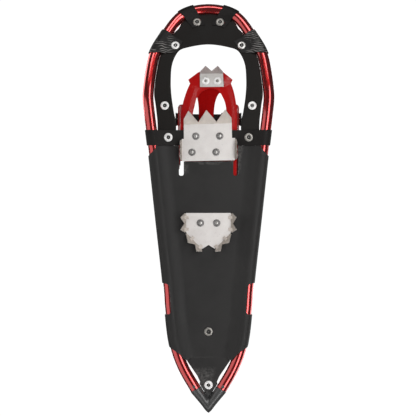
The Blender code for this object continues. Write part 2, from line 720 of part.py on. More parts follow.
def binding_base():
    """A moulded plate: toe bar, two arms and a spine, one plate under the foot."""
    base = slab("binding_base", BASE_LEFT + BASE_RIGHT, *BASE_Z, RED_PLASTIC)
    windows = [slab("cut_window", outline, 20.0, 40.0) for outline in (LEFT_WINDOW, RIGHT_WINDOW)]
    combine(base, merge("cut_base_windows", windows), "DIFFERENCE")
    wing_spots = [(side * WING_RIVET_X, y) for side in (-1, 1) for y in WING_RIVET_Y]
    drill_upright(base, BALL_RIVETS + TOE_RIVETS + wing_spots)
    return base


def foot_pad():
    """The pad under the boot, with room round the rivet heads."""
    half = [(35.0, -181.7), (39.0, -177.0), (41.0, -160.0), (41.6, -120.0), (41.0, -90.0), (35.0, -80.5)]
    outline = half + [(-x, y) for x, y in reversed(half)]
    pad = slab("foot_pad", outline, *PAD_Z, BLACK_RUBBER)
    drill_upright(pad, BALL_RIVETS, PAD_HOLE_R)
    return pad


def wing_height(y):
    """The top edge of a wing along the shoe."""
    return float(np.interp(y, [-205.0, -200.0, -193.0, -185.0, -112.0, -102.0, -94.0, -84.0, -78.0, -62.0],
                           [41.0, 56.0, 71.0, WING_TOP, WING_TOP, 73.0, 68.0, 66.0, 60.0, 38.0]))


def side_bit(side, y, z):
    """A drill through a wing and the strap outside it."""
    return cylinder("bit", (side * 50.0, y, z), (side * 75.0, y, z), HOLE_R)


def wing(side, label):
    """A curved side wing with a foot on the base's edge."""
    section = smooth_path(WING_SECTION, 4)
    stops = [-205.0, -200.0, -193.0, -185.0, -150.0, -112.0, -102.0, -94.0, -84.0]
    stops += [y for y in (-78.0, -70.0, -62.0) if y <= WING_END_Y[side]]
    columns = 9
    points, faces = [], []
    for y in stops:
        cut = [p for p in section if p[1] <= wing_height(y)]
        lengths = np.concatenate([[0.0], np.cumsum([np.linalg.norm(b - a) for a, b in zip(cut, cut[1:])])])
        for k in range(columns):
            here = lengths[-1] * k / (columns - 1)
            x, z = (float(np.interp(here, lengths, [p[i] for p in cut])) for i in (0, 1))
            points.append((side * x, y, z))
    for i in range(len(stops) - 1):
        for k in range(columns - 1):
            a = i * columns + k
            faces.append((a, a + 1, a + columns + 1, a + columns))
    piece = mesh_piece(f"wing_{label}", points, faces, RED_PLASTIC)
    shell = piece.modifiers.new("wall", "SOLIDIFY")
    shell.thickness = WING_THICK * MM
    shell.offset = 0.0
    shell.use_even_offset = True
    tools = [cylinder("bit", (side * WING_RIVET_X, y, 20.0), (side * WING_RIVET_X, y, 45.0), HOLE_R)
             for y in WING_RIVET_Y]
    for y, z in ((TOE_STRAP_Y, STRAP_RIVET_Z), (INSTEP_STRAP_Y, STRAP_RIVET_Z), HEEL_PIN):
        tools.append(side_bit(side, y, z))
    if side < 0:
        (x0, y0, z0), (x1, y1, z1) = EAR_CUT
        ear = [(y0, z0), (y1, z0), (y1, z1 + 6.0), (y0 + 6.0, z1), (y0, z1 - 6.0)]
        tools.append(loft("ear", [[(x, y, z) for y, z in ear] for x in (-x1, -x0)]))
    combine(piece, merge(f"cut_wing_{label}", tools), "DIFFERENCE")
    return piece


def foot_strap(name, y, share_from, share_to, lift_from=None):
    """A strap over the boot between two shares of the arch, -1 at the left wing and 1 at the right.

    From lift_from on, it climbs over the strap below it."""
    half = smooth_path(STRAP_ARCH, 5)
    whole = [np.array((-p[0], p[1])) for p in half[:-1]] + half[::-1]
    lengths = np.concatenate([[0.0], np.cumsum([np.linalg.norm(b - a) for a, b in zip(whole, whole[1:])])])
    path = []
    common = [share for share in np.linspace(-1.0, 1.0, 33) if share_from + 0.01 < share < share_to - 0.01]
    for share in [share_from, *common, share_to]:
        here, ahead = (np.array([np.interp((v + 1) / 2 * lengths[-1], lengths, [p[i] for p in whole])
                                 for i in (0, 1)])
                       for v in (share, share + 0.01))
        way = (ahead - here) / np.linalg.norm(ahead - here)
        lift = 0.0
        if lift_from is not None:
            t = min(1.0, max(0.0, (share - lift_from) / 0.08))
            lift = (STRAP_T + 0.5) * t * t * (3 - 2 * t)
        path.append(here + np.array((-way[1], way[0])) * lift)
    outline = thicken(path, STRAP_T)
    rings = [[(x, y + across, z) for x, z in outline] for across in (-STRAP_WIDE / 2, STRAP_WIDE / 2)]
    strap = loft(name, rings, BLACK_RUBBER)
    tools = []
    for side in (-1, 1):
        if share_from <= side * 0.9 <= share_to:
            tools.append(side_bit(side, y, STRAP_RIVET_Z))
    combine(strap, merge("cut_" + name, tools), "DIFFERENCE")
    return strap


def side_rivet(name, side, y, z, inside, outer):
    """A rivet or pin through a wing and the strap outside it."""
    profile = [(0.0, inside - 1.2), (4.0, inside - 1.0), (5.5, inside), (SHANK_R, inside + 0.01),
               (SHANK_R, outer + GAP), (6.0, outer + GAP), (5.0, outer + GAP + 1.3), (0.0, outer + GAP + 1.6)]
    return turned(name, profile, (0.0, y, z), (side, 0.0, 0.0))


def framed_box(origin, along, across, out, low, high):
    """The corners of a box in a local frame, as two rings."""
    rings = []
    for b in (low[1], high[1]):
        corners = [(low[0], low[2]), (high[0], low[2]), (high[0], high[2]), (low[0], high[2])]
        rings.append([origin + along * a + across * b + out * c for a, c in corners])
    return rings


BUCKLE_HALF = 12.0
CHEEK = 2.2
LEVER_PIVOT = (-7.5, 4.6)
AXLE_R = 1.4
AXLE_HOLE_R = 1.8


def buckle(name, lever_name, origin, along, out, wide, thick):
    """A cam buckle round a strap, and its lever, which lies flat along the strap at rest."""
    origin, along, out = (np.array(v, float) for v in (origin, along, out))
    across = np.cross(out, along)
    room = wide / 2 + 0.4
    side = room + CHEEK
    floor = thick / 2 + GAP + 1.5
    under = -thick / 2 - GAP - 1.5
    top = thick / 2 + 8.5
    outline = [(-side, under), (side, under), (side, top), (room, top),
               (room, floor), (-room, floor), (-room, top), (-side, top)]
    rings = [[origin + along * a + across * b + out * c for b, c in outline]
             for a in (-BUCKLE_HALF, BUCKLE_HALF)]
    body = loft(name, rings, BLACK_PLASTIC)
    half_slot = thick / 2 + GAP
    slot = framed_box(origin, along, across, out, (-20, -room, -half_slot), (20, room, half_slot))
    combine(body, loft("cut_window_" + name, slot), "DIFFERENCE")
    axle = origin + along * LEVER_PIVOT[0] + out * (thick / 2 + LEVER_PIVOT[1])
    reach = across * (side + 3)
    combine(body, cylinder("cut_axle_" + name, axle - reach, axle + reach, AXLE_HOLE_R), "DIFFERENCE")
    low = LEVER_PIVOT[1] + thick / 2
    lever_half = room - GAP
    profile = [(-9.8, low - 0.5), (-8.6, low - 2.2), (-6.0, low - 2.2), (-3.5, low - 1.0), (8.0, low - 1.2),
               (17.0, low - 0.6), (17.5, low + 0.6), (8.0, low + 1.2), (-3.5, low + 2.2), (-8.0, low + 2.4),
               (-9.8, low + 1.0)]
    rings = [[origin + along * a + across * b + out * c for a, c in profile]
             for b in (-lever_half, lever_half)]
    lever = loft(lever_name, rings, RED_PLASTIC)
    reach = across * (side - 0.2)
    combine(lever, cylinder("add_axle_" + lever_name, axle - reach, axle + reach, AXLE_R), "UNION")
    return body, lever, axle


def heel_strap():
    """A strap from the left pin round behind the boot's heel to the right pin."""
    half = smooth_path(HEEL_ROUTE, 3)
    whole = [np.array(p) for p in half[:-1]] + [np.array((-p[0], p[1], p[2])) for p in half[::-1]]
    rings = []
    for i, point in enumerate(whole):
        ahead = whole[min(i + 1, len(whole) - 1)] - whole[max(i - 1, 0)]
        out = np.cross(ahead / np.linalg.norm(ahead), (0.0, 0.0, 1.0))
        out[2] = 0.0
        out /= np.linalg.norm(out)
        tall = HEEL_WIDE / 2 * (0.65 if i in (0, len(whole) - 1) else 1.0)
        rings.append([point + out * o + np.array((0.0, 0.0, h)) for o, h in
                      ((-HEEL_T / 2, -tall), (HEEL_T / 2, -tall), (HEEL_T / 2, tall), (-HEEL_T / 2, tall))])
    strap = loft("heel_strap", rings, BLACK_RUBBER)
    tools = [side_bit(side, *HEEL_PIN) for side in (-1, 1)]
    combine(strap, merge("cut_heel_strap", tools), "DIFFERENCE")
    return strap


def rivets():
    """Every rivet that goes through the decks, claws and base."""
    strap_low = STRAP_MID_W[0] - STRAP_THICK / 2
    strap_high = STRAP_MID_W[1] + STRAP_THICK / 2
    cord_low = CORD_MID_W[0] - CORD_THICK / 2
    cord_high = CORD_MID_W[1] + CORD_THICK / 2
    for side, label in ((-1, "left"), (1, "right")):
        def spot(place):
            return (side * place[0], place[1])
        rivet(f"front_strap_rivet_{label}", spot(FRONT_RIVET), strap_low, strap_high)
        rivet(f"side_strap_rivet_{label}", spot(SIDE_RIVET), strap_low, strap_high)
        rivet(f"leg_rivet_{label}", spot(LEG_RIVET), TOE_DECK_W[0], ARM_W[1])
        rivet(f"toe_cord_rivet_{label}", spot(CORD_RIVET), cord_low, cord_high)
        claw_low = HEEL_CLAW_Z - SHEET / 2 - FRAME_Z
        rivet(f"heel_claw_rivet_{label}", spot(HEEL_RIVET), claw_low, MAIN_DECK_W[1], 7.3, 3.4)
    rivet("tail_wrap_rivet", TAIL_WRAP_RIVET, *MAIN_DECK_W)
    rivet("tail_tip_rivet", TAIL_TIP_RIVET, MAIN_DECK_W[0], MAIN_DECK_W[1] + GAP + 2.0)


def upright_rivet(name, spot, low, high, washer, cup=3.4):
    """A rivet with an upright axis, for pieces that don't follow the toe rise."""
    low, high = low - GAP, high + GAP
    profile = [(0.0, low - 0.4), (cup - 0.4, low - 0.4), (cup + 0.3, low - 1.4), (washer - 1.0, low - 1.4),
               (washer, low - 0.6), (washer, low), (SHANK_R, low), (SHANK_R, high), (washer - 1.0, high),
               (washer - 1.8, high + 1.1), (0.0, high + 1.3)]
    return turned(name, profile, (*spot, 0.0), (0.0, 0.0, 1.0))


def binding_rivets():
    made = []
    for i, spot in enumerate(BALL_RIVETS):
        made.append(upright_rivet(f"ball_claw_rivet_{i + 1}", spot, BALL_CLAW_Z - SHEET / 2, BASE_Z[1], 7.2))
    for i, spot in enumerate(TOE_RIVETS):
        made.append(upright_rivet(f"toe_claw_rivet_{i + 1}", spot, TOE_CLAW_Z - SHEET / 2, BASE_Z[1], 7.6))
    for side, label in ((-1, "left"), (1, "right")):
        for i, y in enumerate(WING_RIVET_Y):
            made.append(upright_rivet(f"wing_rivet_{label}_{i + 1}", (side * WING_RIVET_X, y), BASE_Z[0],
                                      WING_SECTION[0][1] + WING_THICK / 2, 4.4, 2.0))
    return made


def pivot_empty(name, place):
    """An empty on a joint axis, which carries the pieces that move about it."""
    empty = bpy.data.objects.new(name, None)
    empty.location = metres(place)
    bpy.context.collection.objects.link(empty)
    return empty


def carry(empty, pieces):
    bpy.context.view_layer.update()
    for piece in pieces:
        piece.parent = empty
        piece.matrix_parent_inverse = empty.matrix_world.inverted()


HEEL_BUCKLE_AT = (64.8, -58.0, 56.6)
HEEL_BUCKLE_ALONG = (0.0, 0.9983, 0.0581)


def harness(pivot):
    """The straps and buckles over the boot and round its heel."""
    fixed = []
    arch = smooth_path(STRAP_ARCH, 5)
    spot = min(arch, key=lambda p: abs(p[0] - 40.0))
    after = arch[min(range(len(arch)), key=lambda i: abs(arch[i][0] - 40.0)) - 1]
    along = (after - spot) / np.linalg.norm(after - spot)
    along = np.array((along[0], 0.0, along[1]))
    out = np.array((-along[2], 0.0, along[0]))
    for label, y in (("toe", TOE_STRAP_Y), ("instep", INSTEP_STRAP_Y)):
        fixed.append(foot_strap(f"{label}_strap", y, -0.999, 0.68, 0.16))
        fixed.append(foot_strap(f"{label}_strap_tab", y, 0.30, 0.985))
        middle = np.array((spot[0], y, spot[1])) + out * (STRAP_T + GAP) / 2
        body, lever, axle = buckle(f"{label}_buckle", f"{label}_lever", middle, along, out,
                                   STRAP_WIDE, 2 * STRAP_T + 2.0)
        fixed.append(body)
        hinge = pivot_empty(f"{label}_lever_hinge", axle)
        carry(hinge, [lever])
        fixed.append(hinge)
        for side, where in ((-1, "left"), (1, "right")):
            fixed.append(side_rivet(f"{label}_strap_rivet_{where}", side, y, STRAP_RIVET_Z, 57.8,
                                    STRAP_SIDE_X + STRAP_T / 2 + 0.5))
    for side, where in ((-1, "left"), (1, "right")):
        fixed.append(side_rivet(f"heel_pin_{where}", side, *HEEL_PIN, 56.2, HEEL_ROUTE[0][0] + HEEL_T / 2))
    swing = pivot_empty("heel_strap_hinge", (0.0, *HEEL_PIN))
    body, lever, axle = buckle("heel_buckle", "heel_lever", HEEL_BUCKLE_AT, HEEL_BUCKLE_ALONG,
                               (1.0, 0.0, 0.0), HEEL_WIDE, HEEL_T + 1.2)
    hinge = pivot_empty("heel_lever_hinge", axle)
    carry(hinge, [lever])
    carry(swing, [heel_strap(), body, hinge])
    fixed.append(swing)
    carry(pivot, fixed)


def build():
    clear_scene()
    rail = Rail()
    frame_tube(rail)
    tail_pins(rail)
    tail_cap(rail)
    toe_deck(rail)
    main_deck(rail)
    for side, label in ((-1, "left"), (1, "right")):
        front = (side * FRONT_RIVET[0], FRONT_RIVET[1])
        tube_strap(f"front_strap_{label}", rail, front, 9.0, 29.0, 42.0, 12.0)
        rear = (side * SIDE_RIVET[0], SIDE_RIVET[1])
        tube_strap(f"side_strap_{label}", rail, rear, 9.0, 54.0, 30.0, 11.5)
    centre = toe_cord(rail)
    heel_claw()
    rivets()
    pivot = pivot_empty("binding_pivot", (0.0, PIVOT_Y, FRAME_Z))
    ball_claw()
    toe_claw()
    claws = [bpy.data.objects["ball_claw"], bpy.data.objects["toe_claw"]]
    wings = [wing(-1, "left"), wing(1, "right")]
    carry(pivot, [centre, *claws, binding_base(), foot_pad(), *wings, *binding_rivets()])
    harness(pivot)


build()
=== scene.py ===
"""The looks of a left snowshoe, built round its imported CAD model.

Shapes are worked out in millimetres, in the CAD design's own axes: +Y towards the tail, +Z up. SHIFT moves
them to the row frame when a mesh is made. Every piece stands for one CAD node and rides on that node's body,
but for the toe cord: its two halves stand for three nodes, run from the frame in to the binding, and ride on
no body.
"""

import json
import math

import bmesh
import bpy
import numpy as np
from mathutils import Matrix


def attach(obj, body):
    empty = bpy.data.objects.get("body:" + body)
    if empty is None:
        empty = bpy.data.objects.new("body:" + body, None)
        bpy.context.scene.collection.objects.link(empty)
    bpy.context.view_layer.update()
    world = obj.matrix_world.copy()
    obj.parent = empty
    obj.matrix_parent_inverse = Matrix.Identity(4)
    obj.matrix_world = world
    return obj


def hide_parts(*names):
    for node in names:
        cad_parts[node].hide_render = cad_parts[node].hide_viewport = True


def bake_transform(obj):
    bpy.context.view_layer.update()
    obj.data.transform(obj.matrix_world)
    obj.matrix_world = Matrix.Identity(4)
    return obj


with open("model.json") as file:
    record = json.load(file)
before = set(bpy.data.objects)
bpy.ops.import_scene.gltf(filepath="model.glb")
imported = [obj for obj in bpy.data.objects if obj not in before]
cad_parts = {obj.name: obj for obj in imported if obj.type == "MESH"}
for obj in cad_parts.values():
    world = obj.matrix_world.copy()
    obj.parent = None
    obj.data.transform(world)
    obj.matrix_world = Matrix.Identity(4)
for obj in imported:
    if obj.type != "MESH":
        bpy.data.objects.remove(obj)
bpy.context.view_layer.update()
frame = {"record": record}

MM = 0.001
SHIFT = np.array((0.0, 4.516, 0.245))
GAP = 0.3
FLIP = np.array((-1.0, 1.0, 1.0))
SIDES = ((-1, "left"), (1, "right"))

# Frame tube
TUBE_R = 11.1
TUBE_WALL = 1.2
FRAME_Z = 25.5
TUBE_SIDES = 48
HALVINGS = 40
RAIL = [
    (0.0, -400.1), (33.4, -395.2), (60.4, -380.3), (90.2, -337.6), (105.3, -310.1), (112.1, -284.3),
    (119.0, -223.7), (116.8, -194.2), (107.5, -119.9), (92.2, 20.0), (76.9, 159.0), (74.5, 194.4),
    (65.9, 263.8), (50.9, 309.1), (25.4, 354.5),
]
RISE_START_Y = -165.0
RISE_RADIUS = 250.0
RISE_ANGLE = math.radians(20.0)

# Layers, as heights above the frame's centre plane
TOE_DECK_W = (-1.3, 0.1)
MAIN_DECK_W = (-1.2, 1.2)
ARM_W = (0.6, 1.8)
FLAP_W = (1.35, 2.75)
STRAP_MID_W = (-2.25, 1.05)
STRAP_THICK = 1.3
CORD_MID_W = (-2.4, 2.9)
CORD_THICK = 1.6
CORD_FLAT = 20.5
CORD_LAYER = 0.95
WRAP_GAP = 0.4
STRAP_GAP = 0.7
DECK_WRAP_THICK = 1.4

# Decks
OPENING = [
    (0.0, -326.8), (48.0, -319.0), (61.0, -311.0), (72.0, -286.0), (74.5, -251.0), (73.0, -223.0),
    (68.5, -192.0), (64.0, -167.0), (63.6, -124.0),
]
LEG_END_Y = -124.0
CORD_Y = (-154.1, -123.9)
CORD_JOIN_X = 58.0
CORD_END_X = 0.6
DECK_FRONT_Y = -123.4
DECK_TONGUE_Y = -93.4
SLOT_X = (48.8, 58.0)
SLOT_END_Y = -64.5
WRAP_END_Y = 302.0
TAIL_EDGE = [
    (42.4, 299.0), (21.8, 329.1), (16.6, 340.5), (17.7, 344.8), (14.6, 349.6), (9.0, 358.3), (5.0, 362.3),
]
NOTCH_Y = (149.0, 206.0)
NOTCH_X = (77.1, 73.7)

# Rivets
SHANK_R = 2.3
HOLE_R = 2.7
WASHER_R = 8.5
CUP_R = 4.0
STRAP_PAST_RIVET = 9.0
FRONT_RIVET = (23.0, -372.5)
SIDE_RIVET = (66.0, -324.0)
LEG_RIVET = (86.0, -202.3)
CORD_RIVET = (79.0, -139.8)
HEEL_RIVET = (16.0, 28.5)
TAIL_WRAP_RIVET = (0.0, 242.0)
TAIL_TIP_RIVET = (0.0, 347.0)
BALL_RIVETS = [(-25.0, -142.0), (22.0, -142.3), (-32.4, -110.5), (14.7, -110.8)]
TOE_RIVETS = [(-5.3, -251.0), (17.5, -251.0)]
WING_RIVET_X = 46.4
WING_RIVET_Y = (-113.0, -98.0)
PIN_FROM_END = 6.0

# Claws
SHEET = 1.6
BEND_R = 2.0
BALL_CLAW_Z = 22.8
TOE_CLAW_Z = 26.3
HEEL_CLAW_Z = 23.2
BALL_SIDE_LENGTH = 38.6
FOLD_STEPS = 6
STEEP = math.radians(80.0)

# Binding and harness
BASE_Z = (27.4, 31.4)
PAD_Z = (31.7, 35.2)
PAD_Y = (-181.7, -80.5)
PAD_RIM = 4.0
PAD_RIB_PITCH = 7.2
PAD_HOLE_R = 7.6
WING_THICK = 3.0
WING_TOP = 78.5
WING_START_Y = -205.0
WING_END_Y = {-1: -78.0, 1: -62.0}
EAR_CUT = ((38.0, -93.5, 30.0), (66.0, -70.0, 48.5))
WING_SECTION = [
    (42.6, 33.2), (52.0, 33.2), (54.8, 36.0), (56.0, 41.0), (58.5, 49.0), (60.4, 60.0), (61.0, 72.0),
    (61.2, 84.0),
]
STRAP_WIDE = 25.0
STRAP_T = 2.2
STRAP_SIDE_X = 64.4
STRAP_ARCH = [
    (64.4, 55.0), (64.4, 68.0), (64.4, 82.0), (58.5, 95.0), (42.0, 104.0), (22.0, 109.0), (0.0, 110.5),
]
BUCKLE_X = 40.0
TOE_STRAP_Y = -178.0
INSTEP_STRAP_Y = -124.0
STRAP_RIVET_Z = 66.0
HEEL_PIN = (-88.0, 55.0)
HEEL_WIDE = 20.0
HEEL_T = 2.5
HEEL_STEP = 3.0
HEEL_END_ROUND = 7.0
HEEL_ROUTE = [
    (64.8, -101.0, 55.0), (64.8, -88.0, 55.0), (64.8, -60.0, 56.5), (63.5, -20.0, 60.0), (57.0, 20.0, 64.0),
    (44.0, 50.0, 67.0), (24.0, 68.0, 69.0), (0.0, 74.0, 70.0),
]

# Light and camera, in metres
WHITE = (1.0, 1.0, 1.0, 1.0)
FLOOR_GREY = (0.80, 0.80, 0.80, 1.0)
FLOOR_REACH = 4.0
SKY_LIGHT = 0.09
SKY_SEEN = 1.05
CAMERA_LENS = 132.05
CAMERA_AIM = (-0.00098, 0.00354, 0.0257)
CAMERA_AWAY = 3.0

BODY_OF = {n: body for body, nodes in frame["record"]["behaviour"]["bodies"].items() for n in nodes}


# ---- Materials ----

THREAD = 0.0011


class Look:
    """A procedural material, built from textures in the row frame's own metres."""

    def __init__(self, name, **shader):
        self.material = bpy.data.materials.new(name)
        self.material.use_nodes = True
        self.tree = self.material.node_tree
        self.shader = self.tree.nodes["Principled BSDF"]
        for key, value in shader.items():
            self.shader.inputs[key.replace("_", " ")].default_value = value
        self.place = self.node("ShaderNodeTexCoord").outputs["Object"]
        self.normal = None

    def node(self, kind, **settings):
        made = self.tree.nodes.new(kind)
        for key, value in settings.items():
            setattr(made, key, value)
        return made

    def feed(self, socket, value):
        if isinstance(value, bpy.types.NodeSocket):
            self.tree.links.new(value, socket)
        else:
            socket.default_value = value

    def stretched(self, scale, turn=(0.0, 0.0, 0.0)):
        mapping = self.node("ShaderNodeMapping")
        self.feed(mapping.inputs["Vector"], self.place)
        mapping.inputs["Scale"].default_value = scale
        mapping.inputs["Rotation"].default_value = turn
        return mapping.outputs["Vector"]

    def noise(self, scale, detail=3.0, rough=0.5, vector=None):
        made = self.node("ShaderNodeTexNoise")
        self.feed(made.inputs["Vector"], vector or self.place)
        made.inputs["Scale"].default_value = scale
        made.inputs["Detail"].default_value = detail
        made.inputs["Roughness"].default_value = rough
        return made.outputs["Fac"]

    def wave(self, period, direction="X", vector=None, distortion=0.0):
        made = self.node("ShaderNodeTexWave", bands_direction=direction)
        self.feed(made.inputs["Vector"], vector or self.place)
        made.inputs["Scale"].default_value = 2 * math.pi / (20 * period)
        made.inputs["Distortion"].default_value = distortion
        made.inputs["Detail Scale"].default_value = 0.4
        return made.outputs["Fac"]

    def maths(self, operation, a, b=0.5):
        made = self.node("ShaderNodeMath", operation=operation)
        self.feed(made.inputs[0], a)
        self.feed(made.inputs[1], b)
        return made.outputs[0]

    def spread(self, value, low, high, to_low=0.0, to_high=1.0):
        made = self.node("ShaderNodeMapRange")
        for key, item in (("Value", value), ("From Min", low), ("From Max", high), ("To Min", to_low),
                          ("To Max", to_high)):
            self.feed(made.inputs[key], item)
        return made.outputs[0]

    def mix(self, share, a, b):
        made = self.node("ShaderNodeMix", data_type="RGBA")
        self.feed(made.inputs["Factor"], share)
        self.feed(made.inputs["A"], a if isinstance(a, bpy.types.NodeSocket) else (*a, 1.0))
        self.feed(made.inputs["B"], b if isinstance(b, bpy.types.NodeSocket) else (*b, 1.0))
        return made.outputs["Result"]

    def mottle(self, cloud, low, high):
        """Two tones that follow a noise."""
        return self.mix(self.spread(cloud, 0.3, 0.7), low, high)

    def overlay(self, base, mask, share, tone):
        """A tone over the base, by a share of the mask."""
        return self.mix(self.maths("MULTIPLY", mask, share), base, tone)

    def worn_edges(self, low=0.54, high=0.62):
        """1 on convex edges, 0 elsewhere, broken up by grain."""
        point = self.node("ShaderNodeNewGeometry").outputs["Pointiness"]
        edge = self.spread(point, low, high)
        return self.maths("MULTIPLY", edge, self.spread(self.noise(260.0, 4.0), 0.35, 0.65))

    def bump(self, height, strength, depth):
        made = self.node("ShaderNodeBump")
        made.inputs["Strength"].default_value = strength
        made.inputs["Distance"].default_value = depth
        self.feed(made.inputs["Height"], height)
        if self.normal:
            self.feed(made.inputs["Normal"], self.normal)
        self.normal = made.outputs["Normal"]
        self.feed(self.shader.inputs["Normal"], self.normal)

    def colour(self, value):
        self.feed(self.shader.inputs["Base Color"], value)

    def roughness(self, value):
        self.feed(self.shader.inputs["Roughness"], value)


def anodised_look():
    """Dyed anodised aluminium: clear bright reflections under a hard coat, drawn fine along the tube."""
    look = Look("anodised_red", Metallic=1.0, Coat_Weight=1.0, Coat_Roughness=0.10, Coat_IOR=1.9)
    broad = look.noise(9.0, 2.0)
    grain = look.noise(260.0, 3.0, 0.6, look.stretched((1.0, 0.12, 1.0)))
    tone = look.mix(look.spread(broad, 0.35, 0.65), (0.62, 0.010, 0.009), (0.55, 0.007, 0.006))
    scuff = look.maths("MULTIPLY", look.spread(look.noise(70.0, 6.0, 0.7), 0.64, 0.76), 0.18)
    look.colour(look.mix(scuff, tone, (0.66, 0.12, 0.10)))
    drawn = look.spread(grain, 0.2, 0.8, 0.21, 0.24)
    look.roughness(look.maths("ADD", drawn, look.maths("MULTIPLY", scuff, 0.12)))
    return look.material


def scaled(factor, tone):
    """A colour made lighter or darker."""
    return tuple(factor * c for c in tone)


def deck_look(name, tone, shine=0.34):
    """Coated fabric: a fine weave under a matt coat, with faint scuffs and long soft undulations."""
    look = Look(name, Specular_IOR_Level=shine)
    threads = look.maths("MAXIMUM", look.wave(THREAD, "X"), look.wave(THREAD, "Y"))
    cloud = look.noise(24.0, 5.0, 0.6)
    grit = look.noise(1400.0, 3.0, 0.6)
    base = look.mottle(cloud, scaled(0.82, tone), scaled(1.22, tone))
    base = look.overlay(base, look.spread(grit, 0.60, 0.78), 0.35, scaled(2.6, tone))
    base = look.overlay(base, look.worn_edges(), 0.6, (0.13, 0.125, 0.12))
    look.colour(base)
    look.roughness(look.spread(cloud, 0.3, 0.7, 0.50, 0.66))
    look.bump(look.noise(14.0, 2.0), 0.35, 0.0022)
    look.bump(threads, 0.35, 0.00012)
    look.bump(grit, 0.30, 0.00012)
    return look.material


def printed_look():
    """The side lacing straps: the same coated webbing, with a printed pattern of flowing contour lines."""
    look = Look("printed_strap", Specular_IOR_Level=0.30)
    tone = (0.0125, 0.0115, 0.011)
    grit = look.noise(900.0, 4.0, 0.65)
    base = look.mottle(grit, scaled(0.7, tone), scaled(1.5, tone))
    lines = look.spread(look.wave(0.0042, "Y", distortion=13.0), 0.74, 0.90)
    across = look.node("ShaderNodeSeparateXYZ")
    look.feed(across.inputs[0], look.place)
    outer_half = look.spread(look.maths("ABSOLUTE", across.outputs["X"]), 0.069, 0.078)
    patchy = look.spread(look.noise(52.0, 3.0), 0.42, 0.56)
    base = look.overlay(base, look.maths("MULTIPLY", lines, patchy), outer_half, (0.26, 0.25, 0.24))
    look.colour(base)
    look.roughness(0.6)
    look.bump(grit, 0.5, 0.0002)
    look.bump(lines, 0.25, 0.0002)
    return look.material


def rubber_look(name, tone, roughness, grain, weave=None):
    """Rubber or coated webbing: a fine grain with pale worn edges, and ribs across it if it has a weave."""
    look = Look(name, Specular_IOR_Level=0.20)
    grit = look.noise(grain, 4.0, 0.65)
    cloud = look.noise(35.0, 4.0)
    base = look.mottle(cloud, scaled(0.75, tone), scaled(1.35, tone))
    look.colour(look.overlay(base, look.worn_edges(), 0.55, scaled(3.4, tone)))
    look.roughness(look.spread(cloud, 0.3, 0.7, roughness - 0.07, roughness + 0.08))
    if weave:
        ribs = look.maths("MULTIPLY", look.wave(weave, "Y"), look.wave(weave * 1.6, "X"))
        look.bump(ribs, 0.6, 0.0003)
    look.bump(grit, 0.35, 0.00015)
    return look.material


def plastic_look(name, deep, bright, roughness, grain, edge, shine):
    """Moulded plastic: a fine grain, soft mottling, faint scratches and paler worn edges."""
    look = Look(name, Specular_IOR_Level=shine)
    cloud = look.noise(18.0, 4.0)
    grit = look.noise(grain, 3.0, 0.6)
    base = look.mottle(cloud, deep, bright)
    scratch = look.noise(45.0, 8.0, 0.75, look.stretched((1.0, 9.0, 1.0), (0.0, 0.0, 0.6)))
    base = look.overlay(base, look.spread(scratch, 0.62, 0.70), 0.10, edge)
    look.colour(look.overlay(base, look.worn_edges(), 0.35, edge))
    look.roughness(look.spread(grit, 0.3, 0.7, roughness - 0.06, roughness + 0.08))
    look.bump(grit, 0.22, 0.00012)
    return look.material


def steel_look(name, deep, bright, roughness, metallic, brush):
    """Stamped sheet steel: fine brushing one way, soft mottling, brighter worn edges."""
    look = Look(name, Metallic=metallic)
    lines = look.noise(520.0, 4.0, 0.65, look.stretched(brush))
    base = look.mottle(look.noise(60.0, 5.0, 0.6), deep, bright)
    base = look.overlay(base, look.spread(lines, 0.45, 0.75), 0.25, scaled(0.8, deep))
    base = look.overlay(base, look.spread(look.noise(420.0, 2.0), 0.70, 0.76), 0.45, (0.22, 0.20, 0.18))
    base = look.overlay(base, look.worn_edges(0.52, 0.58), 0.5, (0.86, 0.84, 0.82))
    look.colour(base)
    look.roughness(look.spread(lines, 0.3, 0.7, roughness - 0.06, roughness + 0.10))
    look.bump(lines, 0.12, 0.0001)
    return look.material


SHEET_BRUSH = (1.0, 14.0, 1.0)
RIVET_BRUSH = (6.0, 6.0, 1.0)
LOOKS = {
    "anodised_tube": anodised_look(),
    "deck_sheet": deck_look("deck_sheet", (0.0190, 0.0180, 0.0176)),
    "toe_deck": deck_look("toe_deck_sheet", (0.0090, 0.0075, 0.0064), 0.20),
    "strap": rubber_look("strap_rubber", (0.0120, 0.0106, 0.0100), 0.62, 600.0),
    "webbing": rubber_look("harness_webbing", (0.022, 0.022, 0.022), 0.6, 900.0, 0.0016),
    "print": printed_look(),
    "pad": rubber_look("pad_rubber", (0.012, 0.012, 0.012), 0.66, 1200.0),
    "black_plastic": plastic_look("black_plastic", (0.030, 0.030, 0.030), (0.044, 0.044, 0.044), 0.36, 900.0,
                                  (0.20, 0.20, 0.20), 1.0),
    "red_plastic": plastic_look("red_plastic", (0.36, 0.003, 0.003), (0.44, 0.005, 0.005), 0.20, 700.0,
                                (0.60, 0.07, 0.06), 0.42),
    # The spine's red is darker and less glossy than the base's red: painted shade in its sunk channel.
    "dark_red": plastic_look("spine_red_painted_shade", (0.25, 0.001, 0.001), (0.30, 0.0015, 0.0015), 0.24, 700.0,
                             (0.45, 0.02, 0.02), 0.12),
}
